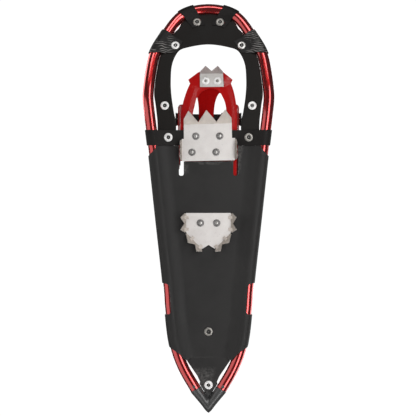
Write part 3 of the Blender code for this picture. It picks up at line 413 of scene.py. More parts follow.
# Each row is: look, material's name, deep tone, bright tone, roughness, metallic, brushing
for key, *settings in (
        ("claw", "claw_steel", (0.78, 0.74, 0.715), (0.86, 0.825, 0.80), 0.48, 0.35, SHEET_BRUSH),
        ("toe_plate", "toe_plate_steel", (0.60, 0.575, 0.55), (0.74, 0.71, 0.69), 0.42, 0.45, SHEET_BRUSH),
        # The tooth tone is the claw steel darkened and browned as painted shade on the bent teeth.
        ("flange", "tooth_steel", (0.64, 0.57, 0.51), (0.84, 0.76, 0.69), 0.46, 0.45, SHEET_BRUSH),
        # The heel flange's darker tone is painted shade in the folds of the same steel sheet.
        ("heel_flange", "heel_tooth_steel", (0.40, 0.355, 0.31), (0.60, 0.545, 0.49), 0.46, 0.45,
         SHEET_BRUSH),
        # The steep side flanges' tone is darker still: painted shade on faces turned away from the light.
        ("side_flange", "side_tooth_steel", (0.30, 0.25, 0.21), (0.46, 0.40, 0.35), 0.52, 0.3, SHEET_BRUSH),
        # The toe teeth's tone is the toe plate's steel darkened as painted shade.
        ("toe_flange", "toe_tooth_steel", (0.40, 0.35, 0.34), (0.52, 0.46, 0.45), 0.46, 0.6, SHEET_BRUSH),
        ("bright", "bright_rivet", (0.94, 0.93, 0.92), (0.98, 0.97, 0.96), 0.40, 0.3, RIVET_BRUSH),
        ("dull", "dull_rivet", (0.30, 0.285, 0.26), (0.42, 0.40, 0.37), 0.42, 0.92, RIVET_BRUSH),
        ("ring", "dark_rivet_ring", (0.16, 0.155, 0.15), (0.25, 0.24, 0.235), 0.38, 0.92, RIVET_BRUSH),
        ("core", "rivet_core", (0.56, 0.54, 0.52), (0.68, 0.66, 0.64), 0.34, 0.92, RIVET_BRUSH),
        # The near-black rivet look is painted shade for the depth of a rivet's hollow.
        ("well", "rivet_well", (0.018, 0.017, 0.016), (0.035, 0.034, 0.032), 0.5, 0.4, RIVET_BRUSH)):
    LOOKS[key] = steel_look(*settings)


# ---- Mesh tools ----

def link(name, data):
    """A new object in the scene."""
    made = bpy.data.objects.new(name, data)
    bpy.context.scene.collection.objects.link(made)
    return made


def new_mesh(name, points, faces, looks=(), face_looks=None):
    """One mesh object from points in design millimetres, its faces turned outwards."""
    mesh = bpy.data.meshes.new(name)
    mesh.from_pydata([tuple(p) for p in (np.asarray(points, float) + SHIFT) * MM], [], faces)
    for look in looks:
        mesh.materials.append(LOOKS[look])
    if face_looks is not None:
        mesh.polygons.foreach_set("material_index", face_looks)
    work = bmesh.new()
    work.from_mesh(mesh)
    bmesh.ops.recalc_face_normals(work, faces=work.faces)
    work.to_mesh(mesh)
    work.free()
    return link(name, mesh)


def loft(name, rings, looks=(), closed_path=False):
    """A skin through rings of equal length, with both ends capped unless the path closes."""
    count = len(rings[0])
    points = [point for ring in rings for point in ring]
    faces = []
    spans = len(rings) if closed_path else len(rings) - 1
    for i in range(spans):
        a = i * count
        b = ((i + 1) % len(rings)) * count
        for j in range(count):
            k = (j + 1) % count
            faces.append((a + j, a + k, b + k, b + j))
    if not closed_path:
        faces.append(tuple(range(count)))
        faces.append(tuple(range((len(rings) - 1) * count, len(rings) * count)))
    return new_mesh(name, points, faces, looks)


def slab(name, outline, low, high, looks=()):
    """A plan outline stretched between two heights."""
    return loft(name, [[(x, y, low) for x, y in outline], [(x, y, high) for x, y in outline]], looks)


def settle(piece):
    """Applies a piece's modifiers to its mesh."""
    graph = bpy.context.evaluated_depsgraph_get()
    mesh = bpy.data.meshes.new_from_object(piece.evaluated_get(graph), depsgraph=graph)
    piece.modifiers.clear()
    piece.data = mesh
    return piece


def solidify(piece, thick):
    """Gives a surface a wall, half of it to each side."""
    shell = piece.modifiers.new("wall", "SOLIDIFY")
    shell.thickness = thick * MM
    shell.offset = 0.0
    shell.use_even_offset = True
    return settle(piece)


def combine(piece, tool, operation):
    """Adds or cuts a closed tool, and removes it."""
    for look in piece.data.materials:
        if not tool.data.materials:
            tool.data.materials.append(look)
    boolean = piece.modifiers.new("boolean", "BOOLEAN")
    boolean.solver = "EXACT"
    boolean.operation = operation
    boolean.object = tool
    boolean.material_mode = "TRANSFER"
    settle(piece)
    bpy.data.objects.remove(tool)
    return piece


def paint(piece, index):
    """Gives every face one of the piece's looks."""
    piece.data.polygons.foreach_set("material_index", [index] * len(piece.data.polygons))
    return piece


def round_edges(piece, width, segments, angle):
    """Rounds the sharp edges, and shades the faces between them flat to the eye."""
    work = bmesh.new()
    work.from_mesh(piece.data)
    bmesh.ops.remove_doubles(work, verts=work.verts, dist=0.00002)
    bmesh.ops.dissolve_degenerate(work, edges=work.edges, dist=0.00002)
    work.to_mesh(piece.data)
    work.free()
    piece.data.shade_smooth()
    bevel = piece.modifiers.new("edges", "BEVEL")
    bevel.width = width * MM
    bevel.segments = segments
    bevel.limit_method = "ANGLE"
    bevel.angle_limit = math.radians(angle)
    bevel.harden_normals = True
    bevel.miter_outer = "MITER_ARC"
    return settle(piece)


def shade(piece, angle):
    """Shades smooth but for edges sharper than the angle."""
    piece.data.shade_smooth()
    piece.data.set_sharp_from_angle(angle=math.radians(angle))
    return piece


def stand_in(piece, node):
    """The piece takes a CAD node's place and body."""
    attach(piece, BODY_OF[node])
    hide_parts(node)
    return piece


def unit(vector):
    """The same direction, with a length of 1."""
    return vector / np.linalg.norm(vector)


def lengths_along(points):
    """The distance along a path to each of its points."""
    return np.concatenate([[0.0], np.cumsum(np.linalg.norm(np.diff(points, axis=0), axis=1))])


def even_stops(start, end, step):
    """Values from start to end, about a step apart."""
    return np.linspace(start, end, max(2, round(abs(end - start) / step) + 1))


def on_path(stops, along, points):
    """The places at some distances along a path whose points lie at the distances in along."""
    return np.stack([np.interp(stops, along, column) for column in points.T], axis=-1)


def smooth_path(points, per_span=8, closed=False):
    """A Catmull-Rom curve through 2-D or 3-D points."""
    knots = [np.array(p, float) for p in points]
    if closed:
        ends = [knots[-1], *knots, knots[0], knots[1]]
    else:
        ends = [2 * knots[0] - knots[1], *knots, 2 * knots[-1] - knots[-2]]
    out = []
    for before, a, b, after in zip(ends, ends[1:], ends[2:], ends[3:]):
        length = np.linalg.norm(b - a)
        slope_a = (b - before) / (length + np.linalg.norm(a - before)) * length
        slope_b = (after - a) / (np.linalg.norm(after - b) + length) * length
        for k in range(per_span):
            t = k / per_span
            out.append((2 * t**3 - 3 * t**2 + 1) * a + (t**3 - 2 * t**2 + t) * slope_a
                       + (3 * t**2 - 2 * t**3) * b + (t**3 - t**2) * slope_b)
    if not closed:
        out.append(knots[-1])
    return out


def even_path(points, step):
    """The same path with points an even step apart."""
    points = np.array(points, float)
    along = lengths_along(points)
    return on_path(even_stops(0.0, along[-1], step), along, points)


def mirrored(half):
    """A whole outline from its half at +X, which starts on the centre line."""
    return [(-x, y) for x, y in half[:0:-1]] + [tuple(p) for p in half]


def rise(y):
    """The toe rise's height above the flat frame plane, and its slope angle, at a plan position."""
    run = max(0.0, RISE_START_Y - y)
    arc_run = RISE_RADIUS * math.sin(RISE_ANGLE)
    if run <= arc_run:
        return RISE_RADIUS - math.sqrt(RISE_RADIUS**2 - run**2), math.asin(run / RISE_RADIUS)
    return RISE_RADIUS * (1 - math.cos(RISE_ANGLE)) + (run - arc_run) * math.tan(RISE_ANGLE), RISE_ANGLE


def on_frame(x, y, w=0.0):
    """A point at height w above the frame's centre surface, which follows the toe rise."""
    height, angle = rise(y)
    return np.array((x, y + w * math.sin(angle), FRAME_Z + height + w * math.cos(angle)))


def surface_up(y):
    """The direction square to the frame's centre surface."""
    angle = rise(y)[1]
    return np.array((0.0, math.sin(angle), math.cos(angle)))


def placed(origin, right, up, shape):
    """A 2-D shape set into space."""
    return [origin + right * a + up * b for a, b in shape]


class Rail:
    """The tube's centre line, from the left tail end round the toe to the right tail end."""

    def __init__(self):
        plan = even_path(smooth_path(mirrored(RAIL), 12), 5.0)
        self.points = np.array([on_frame(x, y) for x, y in plan])
        self.along = lengths_along(self.points)
        self.length = self.along[-1]
        last = len(self.points) - 1
        self.frames = []
        for i, point in enumerate(self.points):
            ahead = self.points[min(i + 1, last)] - self.points[max(i - 1, 0)]
            up = surface_up(point[1])
            self.frames.append((unit(np.cross(up, unit(ahead))), up))

    def at(self, s):
        """Point, inward direction and up direction at a distance along the rail."""
        i = int(np.clip(np.searchsorted(self.along, s) - 1, 0, len(self.points) - 2))
        t = (s - self.along[i]) / (self.along[i + 1] - self.along[i])
        point = self.points[i] * (1 - t) + self.points[i + 1] * t
        inward = self.frames[i][0] * (1 - t) + self.frames[i + 1][0] * t
        up = self.frames[i][1] * (1 - t) + self.frames[i + 1][1] * t
        return point, unit(inward), unit(up)

    def section(self, s, shape):
        """Places a 2-D (inward, up) shape across the rail."""
        return placed(*self.at(s), shape)

    def at_y(self, y, side):
        """The distance along the rail where its right (+1) or left (-1) side passes a plan y."""
        low, high = self.length / 2, self.length
        for _ in range(HALVINGS):
            guess = (low + high) / 2
            if self.at(guess)[0][1] < y:
                low = guess
            else:
                high = guess
        return low if side > 0 else self.length - low

    def nearest(self, point):
        """The distance along the rail of the place nearest to a point, and how far away it is."""
        a, span = self.points[:-1], np.diff(self.points, axis=0)
        t = np.clip(((point - a) * span).sum(1) / (span * span).sum(1), 0.0, 1.0)
        away = np.linalg.norm(a + span * t[:, None] - point, axis=1)
        i = int(away.argmin())
        return self.along[i] + t[i] * np.linalg.norm(span[i]), float(away[i])


RAIL_LINE = Rail()


def circle(radius, sides):
    """Points round a circle in its own plane."""
    turns = np.arange(sides) * 2 * math.pi / sides
    return np.stack([radius * np.cos(turns), radius * np.sin(turns)], axis=1)


def cross_axes(axis):
    """Two directions square to an axis and to each other."""
    side = unit(np.cross(axis, (1.0, 0.0, 0.0) if abs(axis[0]) < 0.9 else (0.0, 1.0, 0.0)))
    return side, np.cross(axis, side)


def turned(name, profile, centre, axis, looks, zones, sides=32):
    """A solid of revolution. The profile's points are (radius, height); zones gives each band's look."""
    centre, axis = np.array(centre, float), np.array(axis, float)
    points = [centre + axis * profile[0][1]]
    for radius, height in profile[1:-1]:
        points += placed(centre + axis * height, *cross_axes(axis), circle(radius, sides))
    points.append(centre + axis * profile[-1][1])
    faces, kinds = [], []
    last = len(points) - 1
    for k in range(sides):
        n = (k + 1) % sides
        faces += [(0, 1 + n, 1 + k), (last, last - sides + k, last - sides + n)]
        kinds += [zones[0], zones[-1]]
        for i in range(len(profile) - 3):
            a, b = 1 + i * sides, 1 + (i + 1) * sides
            faces.append((a + k, a + n, b + n, b + k))
            kinds.append(zones[i + 1])
    return shade(new_mesh(name, points, faces, looks, kinds), 38.0)


def cylinder(foot, top, radius, sides=24):
    """A round bar between two points, to cut or add with."""
    foot, top = np.array(foot, float), np.array(top, float)
    axes = cross_axes(unit(top - foot))
    return loft("bar", [placed(end, *axes, circle(radius, sides)) for end in (foot, top)])


def drill(piece, foot, top, radius=HOLE_R, sides=24):
    """Cuts a round hole between two points."""
    combine(piece, cylinder(foot, top, radius, sides), "DIFFERENCE")


def thicken(path, thick):
    """A closed outline round a 2-D path, half the thickness to each side."""
    path = np.array(path, float)
    ahead = np.gradient(path, axis=0)
    ahead /= np.linalg.norm(ahead, axis=1)[:, None]
    normal = np.stack([-ahead[:, 1], ahead[:, 0]], axis=1)
    left, right = path + normal * thick / 2, path - normal * thick / 2
    return [*left, *right[::-1]]


def wrap_path(reach, flat_from, low, high, radius, steps=36):
    """The path of a strap round the tube: in on the lower side, round the outside, back on the upper side."""
    def touch(height, sign):
        away = math.hypot(flat_from, height)
        return sign * math.acos(radius / away) + math.atan2(height, flat_from)
    first, last = touch(low, -1.0), touch(high, 1.0)
    turns = np.linspace(first, last - 2 * math.pi, steps)
    arc = [(radius * math.cos(a), radius * math.sin(a)) for a in turns]
    return [(reach, low), (flat_from, low), *arc, (flat_from, high), (reach, high)]


# ---- Frame ----

def frame_tube():
    """The hollow tube, as one skin that runs along its outside and back along its inside."""
    stops = even_stops(0.0, RAIL_LINE.length, 6.0)
    outer = [RAIL_LINE.section(s, circle(TUBE_R, TUBE_SIDES)) for s in stops]
    inner = [RAIL_LINE.section(s, circle(TUBE_R - TUBE_WALL, TUBE_SIDES)) for s in stops[::-1]]
    tube = loft("fine_frame_tube", outer + inner, ["anodised_tube"], closed_path=True)
    stand_in(shade(tube, 50.0), "frame_tube")


def tail_pins():
    """A pin through each tail end of the tube, with a hollow head below and a button on top."""
    for side, label in SIDES:
        point, _, up = RAIL_LINE.at(RAIL_LINE.length - PIN_FROM_END if side > 0 else PIN_FROM_END)
        out = TUBE_R + 0.15
        profile = [
            (0.0, -out - 0.5), (1.3, -out - 0.7), (1.7, -out - 1.3), (2.7, -out - 1.2), (3.2, -out - 0.6),
            (3.2, -out), (1.9, -out), (1.9, out), (3.2, out), (3.2, out + 0.6), (2.4, out + 1.1),
            (0.0, out + 1.3),
        ]
        # The head's middle takes the near-black look: painted shade for its hollow.
        zones = [0, 0] + [1] * 9
        pin = turned(f"fine_tail_pin_{label}", profile, point, up, ["well", "ring"], zones, 24)
        stand_in(pin, f"tail_pin_{label}")


CAP_OUTER = [(24.0, 374.2), (13.0, 387.4), (6.0, 396.6), (0.0, 402.0)]
CAP_INNER = [(9.6, 358.6), (5.5, 365.0), (2.5, 369.5), (0.0, 371.0)]
CAP_R = 11.5
CAP_SIDES = 40
SPIGOT_R = 9.4
TAB_THICK = 2.0


def tail_cap():
    """The cap runs from the left spigot round the tail tip to the right spigot, with a tab over the deck."""
    half = []
    for deep, radius in ((20.0, SPIGOT_R - 0.8), (18.0, SPIGOT_R), (-0.4, SPIGOT_R), (-0.4, CAP_R - 0.7),
                         (-1.0, CAP_R - 0.1), (-2.0, CAP_R)):
        point, inward, up = RAIL_LINE.at(RAIL_LINE.length - max(0.0, deep))
        point = point - np.cross(inward, up) * min(0.0, deep)
        half.append(placed(point, inward, up, circle(radius, CAP_SIDES)))
    mouth = np.array(half[-1])
    outer = even_path(smooth_path([mouth[CAP_SIDES // 2][:2], *CAP_OUTER]), 1.5)
    inner = even_path(smooth_path([mouth[0][:2], *CAP_INNER]), 1.0)
    inner = on_path(np.linspace(0.0, 1.0, len(outer)), np.linspace(0.0, 1.0, len(inner)), inner)
    for a, b in zip(outer[1:], inner[1:]):
        middle, reach = (a + b) / 2, (b - a) / 2
        ring = [(*(middle + reach * u), FRAME_Z + v * CAP_R) for u, v in circle(1.0, CAP_SIDES)]
        half.append([np.array(p) for p in ring])
    other = [[p * FLIP for p in ring] for ring in half[:-1]]
    cap = loft("fine_tail_cap", half + other[::-1], ["black_plastic"])
    low = FRAME_Z + MAIN_DECK_W[1] + GAP
    edge = [(4.0, 336.0), (7.0, 337.0), (8.5, 340.0), (8.5, 380.0)]
    tab = [(-x, y) for x, y in edge[::-1]] + edge
    combine(cap, slab("tab", tab, low, low + TAB_THICK), "UNION")
    stand_in(shade(cap, 42.0), "tail_cap")


def edge_relief(y):
    """How far the toe deck's edge draws back from the tube: at the lacing slits and along the sides."""
    slits = 3.0 * math.exp(-((y + 367.0) / 6.5) ** 2)
    sides = 2.6 * math.exp(-((y + 188.0) / 32.0) ** 4)
    return slits + sides


def toe_deck():
    """A horseshoe sheet between the tube and the toe opening."""
    start, end = RAIL_LINE.at_y(LEG_END_Y, -1), RAIL_LINE.at_y(LEG_END_Y, 1)
    inner = np.array(smooth_path(mirrored(OPENING), 12))
    lengths = lengths_along(inner)
    across = [0.0, 0.02, *np.linspace(0.1, 0.9, 7), 0.98, 1.0]
    thin = [0.35, *[0.0] * (len(across) - 2), 0.35]
    rings = []
    for s in even_stops(start, end, 6.0):
        edge = on_path((s - start) / (end - start) * lengths[-1], lengths, inner)
        point, inward, _ = RAIL_LINE.at(s)
        outer = (point + inward * (TUBE_R + 0.1 + edge_relief(point[1])))[:2]
        places = [outer * (1 - t) + edge * t for t in across]
        below = [on_frame(*p, TOE_DECK_W[0] + e) for p, e in zip(places, thin)]
        above = [on_frame(*p, TOE_DECK_W[1] - e) for p, e in zip(places, thin)]
        rings.append(below + above[::-1])
    deck = shade(loft("fine_toe_deck", rings, ["toe_deck"]), 50.0)
    stand_in(deck, "toe_deck")


def rail_edge(y, inward_by=0.0):
    """The plan x of the right rail, drawn inwards."""
    point, inward, _ = RAIL_LINE.at(RAIL_LINE.at_y(y, 1))
    return float((point + inward * inward_by)[0])


WRAP_FROM = 21.0
FLAP_WIDE = 33.0


def deck_section(s):
    """The deck sheet across the right half of the frame: the web's underside, round the tube and back."""
    outer_r = TUBE_R + WRAP_GAP + DECK_WRAP_THICK
    outer = wrap_path(FLAP_WIDE, WRAP_FROM, MAIN_DECK_W[0], FLAP_W[1], outer_r)
    inner = wrap_path(FLAP_WIDE, WRAP_FROM - 2.0, MAIN_DECK_W[1], FLAP_W[0], TUBE_R + WRAP_GAP)
    outer, inner = RAIL_LINE.section(s, outer), RAIL_LINE.section(s, inner)
    middle_y = outer[0][1]
    shares = np.linspace(0.0, 1.0, 9)[:-1]

    def web(edge, w):
        return [np.array((edge[0] * t, middle_y * (1 - t) + edge[1] * t, FRAME_Z + w)) for t in shares]
    return web(outer[0], MAIN_DECK_W[0]) + outer, web(inner[0], MAIN_DECK_W[1]) + inner


def deck_arm(side):
    """A strip of the main deck that runs forward over the toe deck's leg."""
    opening = np.array(smooth_path(OPENING, 6))
    rings = []
    for y in np.linspace(-212.0, -112.0, 34):
        inside = float(np.interp(y, opening[:, 1], opening[:, 0])) + 4.0
        outside = rail_edge(y, TUBE_R + WRAP_GAP + 4.5)
        spots = [(inside, ARM_W[0]), (outside, ARM_W[0]), (outside, ARM_W[1]), (inside, ARM_W[1])]
        rings.append([on_frame(side * x, y, w) for x, w in spots])
    return loft("arm", rings)


def deck_cuts():
    """What is cut from the wrapped sheet: its front, then each side's claw slot, notch and corners."""
    near, far = SLOT_X
    end = SLOT_END_Y
    cuts = [
        [(-near, -130.0), (near, -130.0), (near, DECK_TONGUE_Y), (-near, DECK_TONGUE_Y + 1.2)],
        [(-150.0, -140.0), (150.0, -140.0), (150.0, DECK_FRONT_Y), (-150.0, DECK_FRONT_Y)],
    ]
    slot = [(near, -130.0), (far, -130.0), (far, end - 3), (far - 0.9, end - 0.9), (far - 3, end),
            (near + 3, end), (near + 0.9, end - 0.9), (near, end - 3)]
    (x0, x1), (y0, y1) = NOTCH_X, NOTCH_Y
    notch = [(x0 + 1.5, y0 + 1.0), (x0 + 4.0, y0 - 1.0), (130.0, y0 - 11.0), (130.0, y1 + 9.0),
             (x1 + 3.0, y1 + 0.8), (x1, y1 - 3.0), (x0 - 0.3, y0 + 5.0)]
    front = [(103.0, -135.0), (150.0, -135.0), (150.0, -83.0), (118.0, -103.0), (105.0, -116.5),
             (103.0, -118.5)]
    rear = [(30.0, 306.0), (47.0, 296.0), (57.0, 285.0), (90.0, 263.0), (90.0, 320.0), (30.0, 320.0)]
    for side, _ in SIDES:
        cuts += [[(side * x, y) for x, y in corner] for corner in (slot, notch, front, rear)]
    return cuts


def main_deck():
    """One sheet between the rails, wrapped round both and laid back, with arms and a tail tongue."""
    rings = []
    for s in even_stops(RAIL_LINE.at_y(DECK_FRONT_Y - 2.0, 1), RAIL_LINE.at_y(WRAP_END_Y, 1), 8.0):
        outer, inner = deck_section(s)
        left = [p * FLIP for p in inner[1:]] + [p * FLIP for p in outer[:0:-1]]
        rings.append(outer + inner[::-1] + left)
    deck = loft("fine_main_deck", rings, ["deck_sheet"])
    for outline in deck_cuts():
        combine(deck, slab("cut", outline, 5.0, 45.0), "DIFFERENCE")
    tail = mirrored([(0.0, 292.0), (40.0, 280.0), *TAIL_EDGE])
    low, high = MAIN_DECK_W
    combine(deck, slab("tail", tail, FRAME_Z + low + 0.02, FRAME_Z + high - 0.02), "UNION")
    for side, _ in SIDES:
        combine(deck, deck_arm(side), "UNION")
    deck = round_edges(deck, 0.35, 1, 50.0)
    stand_in(deck, "main_deck")


def tube_strap(node, spot, wide_out, wide_in, slant, look):
    """A lacing strap: both its ends lie on the toe deck and its loop holds the tube.

    Its ends are wide_in wide. Round the tube it is wide_out wide, and a slant further back."""
    centre, away = RAIL_LINE.nearest(on_frame(*spot))
    slant = math.copysign(slant, spot[0])
    reach = away + STRAP_PAST_RIVET
    path = wrap_path(reach, away - 9.5, *STRAP_MID_W, TUBE_R + STRAP_GAP + STRAP_THICK / 2, 32)
    low, high = [[np.array(a) * (1 - t) + np.array(b) * t for t in np.linspace(0, 1, 6)]
                 for a, b in (path[:2], path[-2:])]
    outline = thicken([*low, *path[2:-2], *high], STRAP_THICK)
    rings = []
    for across in np.linspace(-0.5, 0.5, 19):
        ring = []
        for inward, up in outline:
            t = min(1.0, max(0.0, inward / reach))
            s = centre + slant * (1.0 - t) + across * (wide_out + (wide_in - wide_out) * t)
            ring += RAIL_LINE.section(s, [(inward, up)])
        rings.append(ring)
    strap = round_edges(loft("fine_" + node, rings, [look]), 0.4, 2, 45.0)
    stand_in(strap, node)


def toe_cord():
    """Each half of the pivot strap loops round its rail, and its inner end reaches in to the binding."""
    radius = TUBE_R + STRAP_GAP + CORD_THICK / 2
    for side, label in SIDES:
        rings = []
        for y in np.linspace(*CORD_Y, 13):
            rail_x = rail_edge(y)
            join, end = rail_x - CORD_JOIN_X, rail_x - CORD_END_X
            path = wrap_path(join - 4.5, CORD_FLAT, *CORD_MID_W, radius)
            low = [(u, -CORD_LAYER) for u in np.linspace(end, join, 24)]
            high = [(u, CORD_LAYER) for u in np.linspace(join, end, 24)]
            outline = thicken([*low, *path, *high], CORD_THICK)
            rings.append([(side * (rail_x - u), y, FRAME_Z + w) for u, w in outline])
        half = round_edges(loft(f"fine_toe_cord_{label}", rings, ["strap"]), 0.4, 2, 50.0)
        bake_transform(half)
        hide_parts(f"toe_cord_{label}", "toe_cord_centre")


# ---- Rivets ----

def rivet(node, profile, centre, axis, looks, zones):
    """One turned rivet, in its node's place."""
    stand_in(turned("fine_" + node, profile, centre, axis, looks, zones), node)


def washer_rivet(node, centre, axis, low, high, looks, cup=CUP_R):
    """A hollow rivet seen from below: a rounded washer, a shallow recess painted near black as the shade of a
    deep hollow, and the rolled end inside it.
    """
    low, high = low - GAP / 2, high + GAP / 2
    wide = WASHER_R
    profile = [
        (0.0, low - 1.0), (0.9, low - 1.0), (1.2, low - 0.5), (cup - 0.9, low - 0.4), (cup - 0.2, low - 0.9),
        (cup, low - 1.5), (cup + 0.6, low - 1.8), (wide - 2.0, low - 1.7), (wide - 0.8, low - 1.3),
        (wide - 0.15, low - 0.7), (wide, low), (SHANK_R, low), (SHANK_R, high), (wide - 1.5, high),
        (wide - 1.6, high + 0.5), (wide - 2.4, high + 1.1), (cup, high + 1.35), (0.0, high + 1.4),
    ]
    rivet(node, profile, centre, axis, looks, [2, 2, 1, 1] + [0] * 13)


def frame_rivets():
    """The rivets of the straps, legs, toe cord, heel claw and tail. Looks are (washer, recess, rolled end);
    the near-black look is painted shade.
    """
    strap_w = STRAP_MID_W[0] - STRAP_THICK / 2, STRAP_MID_W[1] + STRAP_THICK / 2
    cord_w = CORD_MID_W[0] - CORD_THICK / 2, CORD_MID_W[1] + CORD_THICK / 2
    # The near-black look stands as painted shade in the rivets' recesses, and on the right leg rivet's rolled
    # end.
    dull, bright, plain = ["dull", "well", "ring"], ["bright", "well", "core"], ["bright", "well", "dull"]
    rows = [
        ("front_strap_rivet", FRONT_RIVET, strap_w, dull, dull),
        ("side_strap_rivet", SIDE_RIVET, strap_w, bright, ["core", "well", "ring"]),
        ("leg_rivet", LEG_RIVET, (TOE_DECK_W[0], ARM_W[1]), plain, ["bright", "ring", "well"]),
        ("toe_cord_rivet", CORD_RIVET, cord_w, bright, dull),
    ]
    for side, label in SIDES:
        for name, (x, y), heights, left, right in rows:
            looks = left if side < 0 else right
            washer_rivet(f"{name}_{label}", on_frame(side * x, y), surface_up(y), *heights, looks)
        place = on_frame(side * HEEL_RIVET[0], HEEL_RIVET[1])
        claw_rivet(f"heel_claw_rivet_{label}", place, HEEL_CLAW_Z - SHEET / 2 - FRAME_Z, MAIN_DECK_W[1], 7.3)
    low, high = MAIN_DECK_W
    over_tab = high + GAP + TAB_THICK
    washer_rivet("tail_wrap_rivet", on_frame(*TAIL_WRAP_RIVET), (0, 0, 1), low, high, dull, 4.6)
    washer_rivet("tail_tip_rivet", on_frame(*TAIL_TIP_RIVET), (0, 0, 1), low, over_tab, plain, 3.6)


def claw_rivet(node, centre, low, high, wide, looks=("ring", "core")):
    """A solid rivet: a light flat middle in a darker raised ring."""
    low, high = low - GAP / 2, high + GAP / 2
    profile = [
        (0.0, low - 0.75), (2.6, low - 0.7), (3.1, low - 0.45), (3.4, low - 0.6), (3.9, low - 1.3),
        (4.6, low - 1.6), (wide - 1.4, low - 1.5), (wide - 0.5, low - 1.1), (wide, low - 0.5), (wide, low),
        (SHANK_R, low), (SHANK_R, high), (wide - 1.5, high), (wide - 1.6, high + 0.5),
        (wide - 2.3, high + 1.0), (0.0, high + 1.3),
    ]
    rivet(node, profile, centre, (0, 0, 1), looks, [1, 1] + [0] * 13)


def binding_rivets():
    """The rivets of both front claws, and two for each wing's foot."""
    for i, (x, y) in enumerate(BALL_RIVETS, 1):
        claw_rivet(f"ball_claw_rivet_{i}", (x, y, 0.0), BALL_CLAW_Z - SHEET / 2, BASE_Z[1], 7.2)
    for i, (x, y) in enumerate(TOE_RIVETS, 1):
        looks = ("bright", "dull")
        claw_rivet(f"toe_claw_rivet_{i}", (x, y, 0.0), TOE_CLAW_Z - SHEET / 2, BASE_Z[1], 7.7, looks)
    low, high = BASE_Z[0] - GAP / 2, WING_SECTION[0][1] + WING_THICK / 2 + GAP / 2
    profile = [
        (0.0, low - 0.6), (1.4, low - 0.6), (1.9, low - 1.3), (3.4, low - 1.3), (4.2, low - 0.8), (4.4, low),
        (SHANK_R, low), (SHANK_R, high), (3.4, high), (3.3, high + 0.5), (2.6, high + 1.0), (0.0, high + 1.2),
    ]
    for side, label in SIDES:
        for i, y in enumerate(WING_RIVET_Y, 1):
            centre = (side * WING_RIVET_X, y, 0.0)
            # The middle of each wing rivet takes the near-black look: painted shade.
            rivet(f"wing_rivet_{label}_{i}", profile, centre, (0, 0, 1), ["core", "well"], [1] + [0] * 10)


def side_rivet(node, side, y, z, inside, outer):
    """A rivet or pin through a wing and the strap outside it."""
    out = outer + GAP / 2
    profile = [
        (0.0, inside - 1.2), (3.0, inside - 1.15), (4.6, inside - 0.8), (5.4, inside - 0.2), (5.5, inside),
        (SHANK_R, inside + 0.01), (SHANK_R, out), (6.0, out), (6.0, out + 0.6), (5.2, out + 1.2),
        (3.4, out + 1.5), (2.6, out + 0.9), (0.0, out + 0.8),
    ]
    rivet(node, profile, (0.0, y, z), (side, 0.0, 0.0), ["core", "ring"], [0] * 10 + [1, 1])


# ---- Claws ----

def folded_sheet(name, height, plate, flanges, looks):
    """A flat plate with toothed flanges bent down from some of its edges, as one sheet of steel.

    A flange is (first corner, second corner, angle, outline, darts). Its outline is (along, out) on the flat
    flange, from the second corner back to the first, and darts are places along its fold. The looks are the
    plate's, the slanted flanges', and the one that steep flanges and darts share. The flanges' looks are
    darker tones of the plate's steel: painted shade on the bent faces."""
    points = [(x, y, height) for x, y in plate]
    faces, kinds, wedges = [tuple(range(len(plate)))], [0], []
    loop = plate[1:] + plate[:1]
    way_round = math.copysign(1.0, sum(a[0] * b[1] - b[0] * a[1] for a, b in zip(plate, loop)))
    for first, second, angle, outline, darts in flanges:
        a, b = np.array(plate[first]), np.array(plate[second])
        along = unit(b - a)
        out = np.array((along[1], -along[0])) * way_round
        row = (first, second)
        kind = 2 if angle > STEEP else 1
        for turn in angle * np.arange(1, FOLD_STEPS + 1) / FOLD_STEPS:
            shift = out * BEND_R * math.sin(turn)
            drop = BEND_R * (1 - math.cos(turn))
            here = len(points)
            points += [(*(p + shift), height - drop) for p in (a, b)]
            faces.append((row[0], here, here + 1, row[1]))
            row = (here, here + 1)
        here = len(points)
        for t, d in outline:
            spot = a + along * t + out * (BEND_R * math.sin(angle) + d * math.cos(angle))
            points.append((*spot, height - BEND_R * (1 - math.cos(angle)) - d * math.sin(angle)))
        faces.append((*row, *range(here, len(points))))
        kinds += [kind] * (FOLD_STEPS + 1)
        wedges += [(a + along * t, along, out, angle) for t in darts]
    claw = solidify(new_mesh(name, points, faces, looks, kinds), SHEET)
    for wedge in wedges:
        combine(claw, paint(dart(*wedge, height, looks), 2), "UNION")
    return round_edges(claw, 0.22, 2, 40.0)


def dart(spot, along, out, angle, height, looks):
    """A stiffening dart pressed into a fold: a small wedge across its inner corner."""
    leg, half = 5.2, 2.9
    low = height - SHEET / 2
    fold = out * BEND_R * math.sin(angle)
    tip = np.array((*(spot + fold + out * leg * math.cos(angle)),
                    height - BEND_R * (1 - math.cos(angle)) - leg * math.sin(angle)))
    inner = np.array((*(-out * math.sin(angle)), -math.cos(angle)))
    corners = [
        np.array((*(spot - out * leg), low + 0.3)),
        np.array((*(spot + fold * 0.6), height - 0.1)),
        tip,
        tip + inner * (SHEET / 2 + 0.1),
        np.array((*(spot - out * leg * 0.9), low - 0.5)),
    ]
    reach = np.array((*along, 0.0)) * half
    widths = (1.1, 1.1, 1.1, 1.0, 1.0)
    ends = [[c + reach * way * wide for c, wide in zip(corners, widths)] for way in (-1, 1)]
    return loft("dart", ends, looks)


def tooth_depth(height, angle, tip_z=0.35):
    """How far a flat tooth runs from its bend to reach a tip height."""
    return (height - tip_z - BEND_R * (1 - math.cos(angle))) / math.sin(angle)


